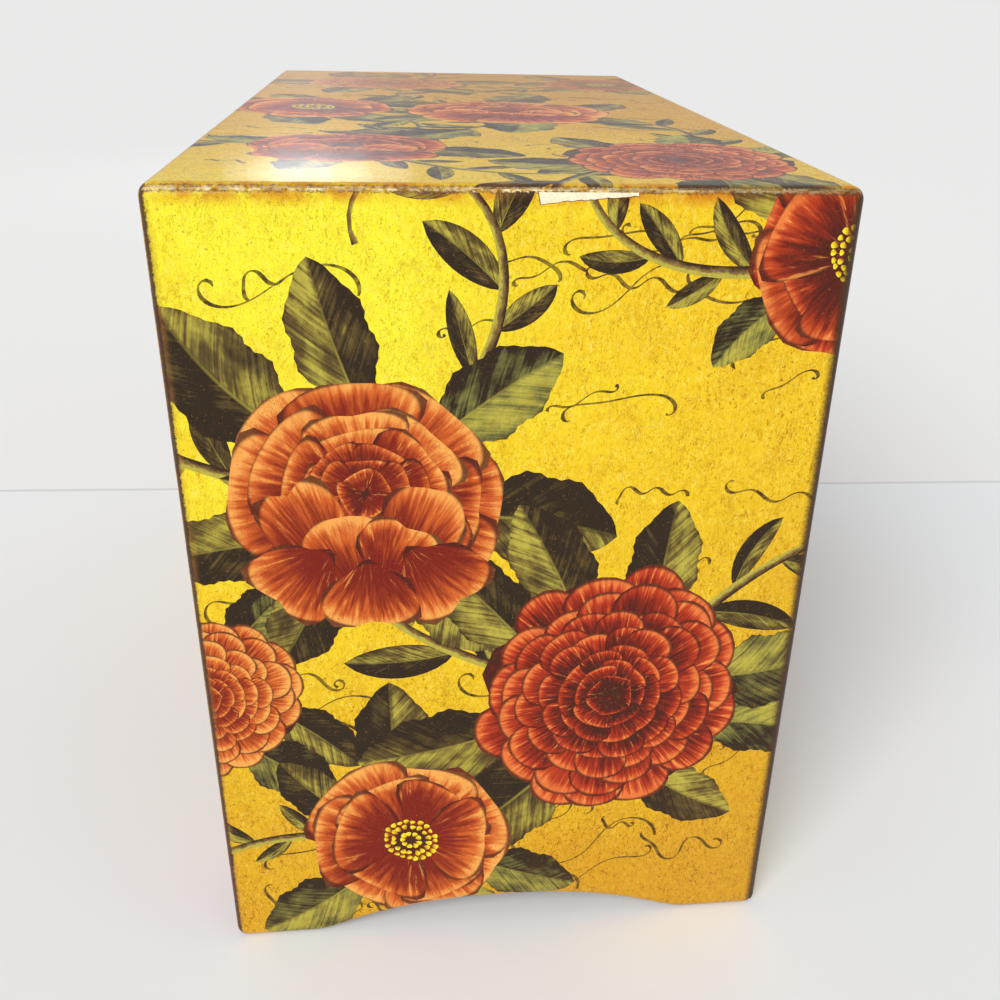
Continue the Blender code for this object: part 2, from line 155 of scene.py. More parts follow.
# The felt and the padded rolls, in metres and shares
FELT_GRID = 0.006
FELT_EDGE_SHARE = 0.35
FELT_UNEVEN_SHARE = 0.12
ROLL_ROUNDS = 26
ROLL_STEPS = 40
ROLL_END = 0.006
ROLL_MIDDLE_SHARE = 0.42

# The stage, in metres
FLOOR_REACH = 40.0
LINE_PLACE = 0.1535
LINE_SLOPE = 0.0337
ROOM_LIGHT = 0.47
ROOM_SEEN = 0.8
KEY_STRENGTH = 2.15
KEY_AIM = (0.75, -0.45, -0.62)
KEY_ANGLE = math.radians(35)
WINDOW_PLACE = Vector((1.4, 0.168, 0.447))
WINDOW_DRIFT = Vector((0, 0.04, 0))
WINDOW_LIFT = Vector((0, 0, 0.004))
WINDOW_AIM = (-0.13, 0.045, 0.209)
WINDOW_SIZE = (0.30, 0.035)
WINDOW_LAMPS = ((1.0, 0.15), (0.65, 0.09), (0.35, 0.04))

# Slots of a sheet's mesh, in the order of its materials
SKINS = ("ground", "shade", "stem", "leaf", "petal", "grain", "ink", "torn", "rim")


# Drawing

class Spot:
    """A drawn shape: its outline, and the place, direction and size that its paint follows."""

    def __init__(self, skin, outline, base, direction, size, tone, seed, lift=0.0, start=0.0, share=1.0):
        self.skin = SKINS.index(skin)
        self.outline = outline
        self.facts = (*base, *direction, *size, start, share, seed, tone, lift)


def heading_of(angle):
    return Vector((math.cos(angle), math.sin(angle)))


def left_of(direction):
    return Vector((-direction.y, direction.x))


def petal(base, tip, breadth, tone, rng, lift=0.0, notch=0.0, wave=0.035, skin="petal"):
    """An egg that is widest towards its tip, with a rim that waves a little."""
    direction = (tip - base).normalized()
    length = (tip - base).length
    side = left_of(direction)
    phase = rng.uniform(0, math.tau)
    steps = SMALL_PETAL_STEPS if length < SMALL_PETAL else PETAL_STEPS
    outline = []
    for step in range(steps):
        angle = math.tau * step / steps
        off_tip = min(angle, math.tau - angle)
        reach = 1 + wave * math.sin(5 * angle + phase) - notch * math.exp(-((off_tip / 0.3) ** 2))
        along = (1 + math.cos(angle) * reach) / 2
        across = math.sin(angle) * reach * (1 + EGG_SHARE * math.cos(angle))
        outline.append(base + direction * (length * along) + side * (breadth * across))
    return Spot(skin, outline, base, direction, (length, breadth), tone, rng.random(), lift)


def ribbon(skin, line, halves, tone, seed):
    """A band along a line of points, as a shape for each step, with its half widths at the points."""
    spots = []
    breadth = max(halves)
    total = sum((after - here).length for here, after in zip(line, line[1:]))
    run = 0.0
    sides = []
    for number in range(len(line)):
        before = line[max(number - 1, 0)]
        after = line[min(number + 1, len(line) - 1)]
        sides.append(left_of((after - before).normalized()) * halves[number])
    for number, (here, after) in enumerate(zip(line, line[1:])):
        length = (after - here).length
        side, next_side = sides[number], sides[number + 1]
        corners = [here - side, after - next_side, after + next_side, here + side]
        outline = [
            corner for place, corner in enumerate(corners)
            if (corner - corners[place - 1]).length > 0.01
        ]
        direction = (after - here) / length
        runs_on = min((corners[1] - corners[0]) @ direction, (corners[2] - corners[3]) @ direction) > 0.005
        if runs_on and len(outline) > 2:
            shares = {"start": run / total, "share": length / total}
            spots.append(Spot(skin, outline, here, direction, (length, breadth), tone, seed, **shares))
        run += length
    return spots


def bent_line(start, angle, length, turn, curl=0.0, steps=16):
    """A line that sets out at an angle, turns evenly, and curls up towards its end."""
    points = [start]
    for step in range(steps):
        share = (step + 0.5) / steps
        heading = heading_of(angle + turn * share + curl * share ** 3)
        points.append(points[-1] + heading * (length / steps))
    return points


def leaf(base, angle, length, breadth, tone, rng, teeth=0.022):
    steps = 26 if teeth else 10
    line = bent_line(base, angle, length, rng.uniform(-0.7, 0.7), steps=steps)
    halves = []
    for step in range(steps + 1):
        share = step / steps
        jag = 1 + teeth * (-1) ** step + 3 * teeth * math.sin(6.5 * math.pi * share)
        halves.append(breadth * (4 * share * (1 - share)) ** LEAF_POWER * jag)
    return ribbon("leaf", line, halves, tone, rng.random())


def vine(start, angle, length, turn, rng, leaflets=7, half=1.6):
    """A scrolling stem that tapers as it curls, with small leaves on both sides."""
    curl = math.copysign(rng.uniform(2.2, 3.4), turn)
    steps = 34
    line = bent_line(start, angle, length, turn, curl, steps)
    halves = [half * (1 - 0.75 * step / steps) for step in range(steps)] + [half * 0.5]
    spots = []
    for number in range(leaflets):
        place = int(steps * (0.12 + 0.74 * number / max(leaflets, 1)))
        along = line[place + 1] - line[place]
        aim = math.atan2(along.y, along.x) + (0.75 if number % 2 else -0.75)
        size = length * rng.uniform(0.16, 0.26)
        breadth = size * rng.uniform(0.13, 0.20)
        spots += leaf(line[place], aim, size, breadth, rng.uniform(0, 0.5), rng, teeth=0)
    return spots + ribbon("stem", line, halves, rng.uniform(0.1, 0.8), rng.random())


def flourish(start, angle, length, rng):
    """A pen stroke that swings and curls up at both ends. It is no letter of any script."""
    steps = 46
    swing = rng.uniform(0.2, 1.3)
    waves = rng.choice((1, 1, 2, 3))
    curls = rng.choice((-1, 1)) * rng.uniform(2.4, 5.6), rng.choice((-1, 1)) * rng.uniform(0.4, 5.2)
    points = [start]
    halves = [0.08]
    for step in range(steps):
        share = 2 * (step + 0.5) / steps - 1
        heading = angle + swing * math.cos(math.pi * share * waves) + curls[share > 0] * share ** 5
        points.append(points[-1] + heading_of(heading) * (length / steps))
        halves.append(0.15 + 0.34 * math.sin(heading - 0.6) ** 2)
    return ribbon("ink", points, halves, 0.5, rng.random())


def underlay(middle, radius, rng):
    """The dark paint under a flower, with an uneven border."""
    outline = []
    steps = 26
    for step in range(steps):
        angle = math.tau * step / steps
        outline.append(middle + heading_of(angle) * radius * rng.uniform(0.9, 1.08))
    return Spot("shade", outline, middle, Vector((1, 0)), (radius, radius), 0.5, rng.random())


def ring_of_petals(middle, tilt, inner, outer, count, breadth_share, tone, rng, **shape):
    """Petals that stand round a flower's middle, which is seen a little from one side."""
    squash = Matrix.Rotation(tilt, 2) @ Matrix.Diagonal((1, 0.86)) @ Matrix.Rotation(-tilt, 2)
    spots = []
    turn = rng.random()
    breadth = breadth_share * math.pi * outer / count
    order = list(range(count))
    rng.shuffle(order)
    for number in order:
        angle = math.tau * (number + turn + rng.uniform(-0.13, 0.13)) / count
        base = middle + squash @ heading_of(angle) * inner
        tip_heading = heading_of(angle + rng.uniform(-0.06, 0.06))
        tip = middle + squash @ tip_heading * (outer * rng.uniform(0.92, 1.05))
        shade = tone + rng.uniform(-0.13, 0.13)
        spots.append(petal(base, tip, breadth * rng.uniform(0.92, 1.12), shade, rng, **shape))
    return spots


def dahlia(middle, radius, tone, rng):
    """A full flower of many narrow petals in rings."""
    tilt = rng.uniform(0, math.pi)
    spots = [underlay(middle, radius * 0.84, rng)]
    for outer, count in DAHLIA_RINGS:
        spots += ring_of_petals(
            middle, tilt, radius * outer * 0.30, radius * outer, count, 1.02, tone, rng,
            lift=0.22 * outer - 0.20, wave=0.02
        )
    return spots


def open_rose(middle, radius, tone, rng):
    """A flower of broad ruffled petals, whose nearer ones close over its heart."""
    tilt = rng.uniform(-0.3, 0.3)
    spots = [underlay(middle, radius * 0.72, rng)]
    for outer, count, share in ROSE_RINGS:
        spots += ring_of_petals(
            middle, tilt, radius * outer * 0.22, radius * outer, count, share, tone, rng,
            lift=0.25 * outer - 0.20, notch=0.10, wave=0.055
        )
    heart = middle + Vector((0, radius * 0.05))
    for outer, count in ROSE_HEART_RINGS:
        spots += ring_of_petals(
            heart, tilt, radius * outer * 0.12, radius * outer, count, 0.95, tone - 0.12, rng,
            lift=-0.22, notch=0.08
        )
    for side, reach in CUPPED_PETALS:
        foot = middle + Vector((side * 0.16, -0.66)) * radius
        tip = middle + Vector((side * 0.56, reach)) * radius
        shade = tone + rng.uniform(-0.1, 0.25)
        lift = rng.uniform(-0.06, 0.1)
        spots.append(petal(foot, tip, radius * 0.27, shade, rng, lift, notch=0.16, wave=0.08))
    for side, reach in FOLDED_PETALS:
        foot = middle + Vector((side * 0.30, -0.36 - 0.10 * (1 - abs(side)))) * radius
        tip = middle + Vector((side * 0.74, -reach)) * radius
        lift = rng.uniform(0.0, 0.16)
        spots.append(petal(foot, tip, radius * 0.33, tone, rng, lift, notch=0.14, wave=0.09))
    return spots


def anemone(middle, radius, tone, rng):
    """A flower of two rows of broad petals, round a dark eye with golden stamens."""
    tilt = rng.uniform(0, math.pi)
    spots = [underlay(middle, radius * 0.6, rng)]
    for outer, count, share in ANEMONE_RINGS:
        spots += ring_of_petals(
            middle, tilt, radius * outer * 0.12, radius * outer, count, share, tone, rng,
            notch=0.07, wave=0.05
        )
    spots.append(underlay(middle, radius * 0.17, rng))
    for reach, count in STAMEN_RINGS:
        spots += ring_of_petals(
            middle, tilt, radius * (reach - 0.06), radius * reach, count, 0.62, 0.5, rng, skin="grain"
        )
    return spots


BLOOMS = {"dahlia": dahlia, "rose": open_rose, "anemone": anemone}


class Drawing:
    """What is drawn on a sheet, in layers, so that stems pass under leaves and leaves under flowers."""

    def __init__(self, seed):
        self.rng = random.Random(seed)
        self.layers = {"pen": [], "vines": [], "leaves": [], "blooms": [], "wear": []}

    def spots(self):
        return [spot for layer in self.layers.values() for spot in layer]

    def bunch(self, kind, middle, radius, tone, leaves=6, vines=2, aim=None):
        """A flower with leaves that look out from under it, and vines that grow from behind it."""
        rng = self.rng
        turn = rng.uniform(0, math.tau)
        for number in range(leaves):
            angle = turn + math.tau * (number + rng.uniform(-0.25, 0.25)) / leaves
            length = radius * rng.uniform(0.85, 1.2)
            base = middle + heading_of(angle) * radius * 0.60
            size = length * rng.uniform(0.24, 0.32)
            aside = rng.uniform(-0.5, 0.5)
            self.layers["leaves"] += leaf(base, angle + aside, length, size, rng.random(), rng)
        for number in range(vines):
            angle = (turn if aim is None else aim) + 2.1 * number + rng.uniform(-0.3, 0.3)
            base = middle + heading_of(angle) * radius * 0.5
            turn_by = rng.choice((-1, 1)) * rng.uniform(0.5, 1.3)
            self.layers["vines"] += vine(base, angle, radius * rng.uniform(2.4, 3.2), turn_by, rng)
        self.layers["blooms"] += BLOOMS[kind](middle, radius, tone, rng)

    def pen_strokes(self, width, height, count):
        rng = self.rng
        for number in range(count):
            start = Vector((rng.uniform(0.02, 0.9) * width, rng.uniform(0.04, 0.97) * height))
            self.layers["pen"] += flourish(start, rng.uniform(-0.25, 0.2), rng.uniform(*PEN_LENGTHS), rng)


def scattered(width, height, seed, cell):
    """A drawing of bunches that are spread evenly over a sheet, with open ground between them."""
    drawing = Drawing(seed)
    rng = drawing.rng
    columns = max(1, round(width / cell))
    rows = max(1, round(height / cell))
    kinds = ["dahlia", "rose", "anemone"]
    for row in range(rows):
        for column in range(columns):
            middle = Vector((
                width * (column + 0.5 + rng.uniform(-0.22, 0.22) + 0.22 * (-1) ** row) / columns,
                height * (row + 0.5 + rng.uniform(-0.2, 0.2)) / rows,
            ))
            kind = kinds[(row + column * 2 + seed) % 3]
            radius = min(rng.uniform(25, 38), 0.62 * max(height, 40))
            drawing.bunch(kind, middle, radius, rng.uniform(0.05, 0.85), leaves=rng.randint(4, 7))
    drawing.pen_strokes(width, height, round(width * height / GROUND_PER_STROKE))
    return drawing


def left_end_drawing(width, height):
    """The sheet that the photograph shows: red and orange bunches, with open ground over and beside them."""
    drawing = Drawing(7)
    drawing.pen_strokes(width, height, LEFT_END_STROKES)
    for kind, across, up, radius, tone, leaves, vines, aim in LEFT_END_BUNCHES:
        middle = Vector((across * width, up * height))
        drawing.bunch(kind, middle, radius, tone, leaves, vines, aim)
    drawing.layers["wear"].append(torn_chip(width, height, "rim", TEAR_BORDER))
    drawing.layers["wear"].append(torn_chip(width, height, "torn", 0.0))
    return drawing


def torn_chip(width, height, skin, margin):
    """Where the paper's edge has torn away, along the top edge of the sheet that the photograph shows."""
    rng = random.Random(3)
    low = TEAR_SHARES[0] * width - margin
    high = TEAR_SHARES[1] * width + margin
    top = height - EDGE_RADIUS * 0.42
    steps = 22
    under = []
    for step in range(steps + 1):
        share = step / steps
        drop = TEAR_DEPTH - TEAR_RISE * share ** 0.7 + rng.uniform(-0.16, 0.16) + margin
        under.append(Vector((low + (high - low) * share, top - drop)))
    over = [Vector((high, top)), Vector((low - 0.5, top))]
    return Spot(skin, under + over, Vector((low, top)), Vector((1, 0)), (high - low, 2.0), 0.5, 0.3)


# Sheets

class Sheet:
    """A sheet over one face: its corner, directions and size, and how far the sheet turns at its sides."""

    def __init__(
        self, name, corner, across, up, size, radius, turns, rubbed=(), grime_and_shade_sides=(), board=None, holes=(),
        bright=(0.15, 0.95)
    ):
        self.name = name
        self.corner = numpy.array(corner)
        self.axes = numpy.array((across, up, Vector(across).cross(Vector(up))))
        self.width, self.height = size
        self.radius = radius
        self.starts = [radius * (1 - turn) for turn in turns]
        self.rubbed = rubbed
        # The sides that get grime and painted shade
        self.grime_and_shade_sides = grime_and_shade_sides
        self.holes = holes
        # The point where the ground is lemon and brightest: partly the print's own tone, partly painted light
        self.bright = (bright[0] * self.width, bright[1] * self.height)
        self.feet = arch_of(board, self) if board else numpy.zeros_like
        self.arched = board is not None

    def lowest(self, across):
        return self.feet(across) + self.starts[2]

    def laid(self, flat):
        """Where flat points come to lie, in metres, on the sheet's outer and inner surfaces."""
        across, up = flat.T
        near_across = numpy.clip(across, self.radius, self.width - self.radius)
        near_up = numpy.clip(up, self.feet(across) + self.radius, self.height - self.radius)
        lean = numpy.tan((across - near_across) / self.radius)
        rise = numpy.tan((up - near_up) / self.radius)
        turned = numpy.stack((lean, rise, numpy.ones_like(lean)), axis=1)
        turned /= numpy.linalg.norm(turned, axis=1)[:, None]
        base = numpy.stack((near_across, near_up, numpy.full_like(lean, -self.radius)), axis=1)
        outer = base + self.radius * turned
        inner = base + (self.radius - PAPER_THICKNESS) * turned
        return self.corner + MM * outer @ self.axes, self.corner + MM * inner @ self.axes

    def outline(self):
        left, right = self.starts[0], self.width - self.starts[1]
        high = self.height - self.starts[3]
        count = round(self.width / OUTLINE_STEP) if self.arched else 1
        across = numpy.linspace(left, right, count + 1)
        low = list(zip(across, self.lowest(across)))
        return low + [(right, high), (left, high)]

    def creases(self):
        """The lines that the sheet bends along, and those where its wear changes, as lists of flat points."""
        lines = []
        for side, sign in ((0, 1), (1, -1)):
            edge = (0, self.width)[side] + sign * self.starts[side]
            for step in self.steps(side):
                place = edge + sign * step
                lines.append([(place, 0), (place, self.height)])
        count = round(self.width / OUTLINE_STEP) if self.arched else 1
        across = numpy.linspace(0, self.width, count + 1)
        for step in self.steps(2):
            lines.append(list(zip(across, self.lowest(across) + step)))
        for step in self.steps(3):
            high = self.height - self.starts[3] - step
            lines.append([(0, high), (self.width, high)])
        for left, low, right, high in self.holes:
            for grow in WEAR_LINES:
                corners = [
                    (left - grow, low - grow), (right + grow, low - grow),
                    (right + grow, high + grow), (left - grow, high + grow),
                ]
                lines.append(corners + corners[:1])
        return lines

    def steps(self, side):
        arc = self.radius - self.starts[side]
        folds = [arc * number / FOLD_STEPS for number in range(1, FOLD_STEPS + 1)]
        return folds + [line for line in WEAR_LINES if line > arc + 0.3]

    def wear(self, flat):
        """How far each flat point is from the nearest border, whether that one is rubbed, and whether it gets
        grime and painted shade.
        """
        across, up = flat.T
        reaches = numpy.stack((
            across - self.starts[0],
            self.width - self.starts[1] - across,
            up - self.lowest(across),
            self.height - self.starts[3] - up,
        ), axis=1)
        nearest = reaches.argmin(axis=1)
        reach = reaches.min(axis=1)
        rubbed = numpy.isin(nearest, self.rubbed).astype(float)
        grime_and_shade_sides = numpy.isin(nearest, self.grime_and_shade_sides).astype(float)
        for left, low, right, high in self.holes:
            off_across = numpy.maximum(numpy.maximum(left - across, across - right), 0)
            off_up = numpy.maximum(numpy.maximum(low - up, up - high), 0)
            reach = numpy.minimum(reach, numpy.hypot(off_across, off_up) + 0.35)
        return numpy.stack((numpy.clip(reach, 0, WEAR_LINES[-1]), rubbed, grime_and_shade_sides), axis=1)


def arch_of(board, sheet):
    """The height of a board's lower edge along its sheet, read from the board's inner face."""
    points = numpy.array([vertex.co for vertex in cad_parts[board].data.vertices])
    flat = (points - sheet.corner) @ sheet.axes.T / MM
    inner = flat[:, 2] < flat[:, 2].min() + 0.05
    low = flat[:, 1] < ARCH_LIMIT
    edge = flat[inner & low]
    edge = edge[edge[:, 0].argsort()]
    return lambda across: numpy.interp(across, edge[:, 0], edge[:, 1])


def cut_flat(sheet, spots):
    """The flat triangles of a sheet, each with the number of the last drawn shape that covers it."""
    corners = [list(sheet.outline())]
    for left, low, right, high in sheet.holes:
        corners.append([(left, low), (right, low), (right, high), (left, high)])
    first_spot = len(corners)
    corners += [[tuple(point) for point in spot.outline] for spot in spots]
    points, faces, edges = [], [], []
    for polygon in corners:
        faces.append(list(range(len(points), len(points) + len(polygon))))
        points += polygon
    for line in sheet.creases():
        edges += [(number, number + 1) for number in range(len(points), len(points) + len(line) - 1)]
        points += line
    made = delaunay_2d_cdt([Vector(point) for point in points], edges, faces, 1, WELD)
    kept, tops = [], []
    for triangle, owners in zip(made[2], made[5]):
        if 0 not in owners or any(hole in owners for hole in range(1, first_spot)):
            continue
        kept.append(triangle)
        tops.append(max(owners) - first_spot)
    flat = numpy.array([tuple(point) for point in made[0]])
    kept = numpy.array(kept)
    used, kept = numpy.unique(kept, return_inverse=True)
    return flat[used], kept.reshape(-1, 3), numpy.array(tops)


def border_loops(triangles):
    """The loops of points round a sheet and round its holes, in the order that the triangles give."""
    follows = {}
    for triangle in triangles.tolist():
        for here, after in zip(triangle, triangle[1:] + triangle[:1]):
            if follows.get(after) is not None and here in follows[after]:
                follows[after].discard(here)
            else:
                follows.setdefault(here, set()).add(after)
    follows = {here: next(iter(after)) for here, after in follows.items() if after}
    loops = []
    while follows:
        here = next(iter(follows))
        loop = []
        while here in follows:
            loop.append(here)
            here = follows.pop(here)
        loops.append(loop)
    return loops


def inner_side(sheet, flat, loops):
    """The plainer triangles of a sheet's inner surface, on the same border points as its outer one."""
    loops = sorted(loops, key=len)
    areas = [loop_area(flat[loop]) for loop in loops]
    faces = [loops[number] for number, area in enumerate(areas) if area > 0]
    holes = [loops[number][::-1] for number, area in enumerate(areas) if area <= 0]
    ring = [point for loop in faces + holes for point in loop]
    renamed = {point: number for number, point in enumerate(ring)}
    points = [Vector(flat[point]) for point in ring]
    edges = []
    for line in sheet.creases():
        edges += [(number, number + 1) for number in range(len(points), len(points) + len(line) - 1)]
        points += [Vector(point) for point in line]
    polygons = [[renamed[point] for point in loop] for loop in faces + holes]
    made = delaunay_2d_cdt(points, edges, polygons, 1, WELD)
    found = {}
    for number, sources in enumerate(made[3]):
        for source in sources:
            if source < len(ring):
                found[ring[source]] = number
    kept = [
        triangle for triangle, owners in zip(made[2], made[5])
        if min(owners) < len(faces) and max(owners) < len(faces)
    ]
    return numpy.array([tuple(point) for point in made[0]]), numpy.array(kept), found


def loop_area(points):
    after = numpy.roll(points, -1, axis=0)
    return float((points[:, 0] * after[:, 1] - points[:, 1] * after[:, 0]).sum() / 2)


def sheet_object(sheet, spots, skins, body):
    """The sheet as a thin closed piece, with what its paint needs to know stored on its mesh."""
    near = [spot for spot in spots if meets(sheet, spot)]
    flat, triangles, tops = cut_flat(sheet, near)
    loops = border_loops(triangles)
    back_flat, back_triangles, found = inner_side(sheet, flat, loops)
    outer = sheet.laid(flat)[0]
    inner = sheet.laid(back_flat)[1]
    first = len(outer)
    faces = triangles.tolist()
    faces += [[first + point for point in triangle[::-1]] for triangle in back_triangles.tolist()]
    for loop in loops:
        for here, after in zip(loop, loop[1:] + loop[:1]):
            faces.append([after, here, first + found[here], first + found[after]])
    mesh = bpy.data.meshes.new(sheet.name)
    mesh.from_pydata(numpy.concatenate((outer, inner)).tolist(), [], faces)
    for skin in SKINS:
        mesh.materials.append(skins[skin])
    slots = numpy.full(len(faces), SKINS.index("rim"))
    slots[:len(triangles)] = [near[top].skin if top >= 0 else 0 for top in tops]
    mesh.polygons.foreach_set("material_index", slots.astype(numpy.int32))
    store_paint(mesh, sheet, flat, back_flat, triangles, tops, near)
    mesh.shade_smooth()
    mesh.set_sharp_from_angle(angle=SHEET_SHARP)
    made = placed(sheet.name, mesh)
    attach(made, body)
    return made


def placed(name, data):
    """A new object in the scene."""
    made = bpy.data.objects.new(name, data)
    bpy.context.scene.collection.objects.link(made)
    return made


def meets(sheet, spot):
    points = numpy.array(spot.outline)
    low, high = points.min(axis=0), points.max(axis=0)
    return high[0] > 0 and high[1] > 0 and low[0] < sheet.width and low[1] < sheet.height


def store_paint(mesh, sheet, flat, back_flat, triangles, tops, spots):
    """Stores each corner's place in the shape that it belongs to, and each point's place on the sheet."""
    everything = numpy.concatenate((flat, back_flat))
    page = numpy.zeros((len(everything), 3))
    page[:, :2] = everything
    page[:, 2] = sum(ord(letter) for letter in sheet.name) % 97
    store(mesh, "page", "POINT", page)
    store(mesh, "wear", "POINT", sheet.wear(everything))
    facts = numpy.array([(0, 0, 1, 0, 1, 1, 0, 1, 0, 0, 0)] + [spot.facts for spot in spots], float)
    own = facts[tops + 1].repeat(3, axis=0)
    points = flat[triangles.ravel()]
    x, y = points[:, 0] - own[:, 0], points[:, 1] - own[:, 1]
    along = own[:, 6] + own[:, 7] * (x * own[:, 2] + y * own[:, 3]) / own[:, 4]
    across = (y * own[:, 2] - x * own[:, 3]) / own[:, 5]
    corners = len(mesh.loops)
    spot_place = numpy.zeros((corners, 3))
    spot_place[:len(own)] = numpy.stack((along, across, own[:, 8]), axis=1)
    store(mesh, "spot", "CORNER", spot_place)
    tone = numpy.ones((corners, 3))
    tone[:len(own), :2] = own[:, 9:11]
    # Each point's distance from the bright point, by which the ground falls from lemon to ochre, partly as
    # painted light
    reach = BRIGHT_FALL_SHARE * math.hypot(sheet.width, sheet.height)
    tone[:len(own), 2] = numpy.linalg.norm(points - sheet.bright, axis=1) / reach
    store(mesh, "tone", "CORNER", tone)


def store(mesh, name, domain, values):
    made = mesh.attributes.new(name, "FLOAT_VECTOR", domain)
    made.data.foreach_set("vector", values.astype(numpy.float32).ravel())


# Materials

class Nodes:
    """A material in the making, with short ways to add nodes and join them."""

    def __init__(self, name):
        self.material = bpy.data.materials.new(name)
        self.material.use_nodes = True
        self.tree = self.material.node_tree
        self.shader = self.tree.nodes["Principled BSDF"]

    def add(self, kind, inputs=None, **settings):
        made = self.tree.nodes.new(kind)
        for key, value in settings.items():
            setattr(made, key, value)
        for key, value in (inputs or {}).items():
            self.put(made.inputs[key], value)
        return made

    def put(self, socket, value):
        if isinstance(value, bpy.types.NodeSocket):
            self.tree.links.new(value, socket)
        elif isinstance(value, tuple) and socket.type == "RGBA":
            socket.default_value = (*value, 1)
        else:
            socket.default_value = value

    def surface(self, **inputs):
        """Sets inputs of the material's shader, with underscores for the blanks in their names."""
        for name, value in inputs.items():
            self.put(self.shader.inputs[name.replace("_", " ")], value)

    def attribute(self, name):
        """The three numbers of an attribute, and the whole of it."""
        read = self.add("ShaderNodeAttribute", attribute_name=name)
        split = self.add("ShaderNodeSeparateXYZ", {0: read.outputs["Vector"]})
        return (*split.outputs, read.outputs["Vector"])

    def math(self, operation, one, other=0.0, third=0.0, clamp=False):
        inputs = {0: one, 1: other, 2: third}
        return self.add("ShaderNodeMath", inputs, operation=operation, use_clamp=clamp).outputs[0]

    def times(self, one, other, clamp=False):
        return self.math("MULTIPLY", one, other, clamp=clamp)

    def plus(self, one, other):
        return self.math("ADD", one, other)

    def scaled(self, value, by, add):
        """A value times one number or value, plus another."""
        return self.math("MULTIPLY_ADD", value, by, add)

    def vector(self, x, y, z=0.0):
        return self.add("ShaderNodeCombineXYZ", {0: x, 1: y, 2: z}).outputs[0]

    def span(self, value, low, high, to_low=0.0, to_high=1.0):
        """A value's place between low and high, eased, as a number between two others."""
        inputs = {"Value": value, "From Min": low, "From Max": high, "To Min": to_low, "To Max": to_high}
        return self.add("ShaderNodeMapRange", inputs, interpolation_type="SMOOTHSTEP").outputs[0]

    def mix(self, factor, one, other, blend="MIX"):
        made = self.add("ShaderNodeMix", data_type="RGBA", blend_type=blend)
        self.put(made.inputs[0], factor)
        self.put(made.inputs[6], one)
        self.put(made.inputs[7], other)
        return made.outputs[2]

    def noise(self, place, scale, detail=2.0, rough=0.5, distortion=0.0):
        inputs = {"Vector": place, "Scale": scale, "Detail": detail, "Roughness": rough}
        inputs["Distortion"] = distortion
        return self.add("ShaderNodeTexNoise", inputs).outputs[0]

    def stretched(self, place, scale):
        return self.add("ShaderNodeMapping", {"Vector": place, "Scale": scale}).outputs[0]

    def ramp(self, factor, *stops):
        made = self.add("ShaderNodeValToRGB", {0: factor})
        points = made.color_ramp.elements
        for number, (place, colour) in enumerate(stops):
            point = points[number] if number < 2 else points.new(place)
            point.position = place
            point.color = (*colour, 1)
        return made.outputs[0]

    def bump(self, height, distance, strength=1.0, under=None):
        inputs = {"Height": height, "Distance": distance, "Strength": strength}
        if under is not None:
            inputs["Normal"] = under
        return self.add("ShaderNodeBump", inputs).outputs[0]


def parchment(nodes):
    """The print's golden ground: lemon where it is brightest, partly as painted light, then gold, then ochre,
    with short ticks.
    """
    place = nodes.attribute("page")[3]
    from_bright = nodes.attribute("tone")[2]
    drift = nodes.noise(place, 0.016, 2.0, 0.5)
    cloud = nodes.noise(place, 0.11, 4.0, 0.6, 0.6)
    # Lemon near the bright point, ochre far from it: partly the print's own tone, partly painted light
    blend = nodes.scaled(from_bright, 0.98, nodes.scaled(drift, 0.5, -0.25))
    blend = nodes.plus(blend, nodes.scaled(cloud, 0.36, -0.18))
    colour = nodes.ramp(blend, (0.08, LEMON), (0.95, OCHRE), (0.46, GOLD))
    ticks = nodes.noise(nodes.stretched(place, (1.5, 0.7, 1.0)), 0.95, 3.0, 0.62, 1.2)
    dense = nodes.span(nodes.noise(place, 0.07, 3.0, 0.6), 0.35, 0.65, 0.30, 0.75)
    dense = nodes.times(dense, nodes.span(from_bright, 0.2, 1.0, 0.8, 1.5), clamp=True)
    colour = nodes.mix(nodes.times(nodes.span(ticks, 0.55, 0.66), dense), colour, TICK, "MULTIPLY")
    dots = nodes.times(nodes.span(nodes.noise(place, 0.9, 2.0, 0.5), 0.68, 0.72), dense)
    colour = nodes.mix(dots, colour, STAIN)
    pale = nodes.times(nodes.span(ticks, 0.34, 0.46, 0.5, 0.0), nodes.span(from_bright, 0.4, 1.1, 1.0, 0.35))
    return nodes.mix(pale, colour, PALE)


def streaks(nodes, along, across, seed):
    """Brush marks that fan out from the base of a petal."""
    angle = nodes.math("ARCTAN2", across, nodes.plus(along, 0.16))
    place = nodes.vector(nodes.times(angle, 5.0), nodes.times(along, 1.1), seed)
    return nodes.noise(nodes.stretched(place, (1, 1, 40)), 2.2, 4.0, 0.6)


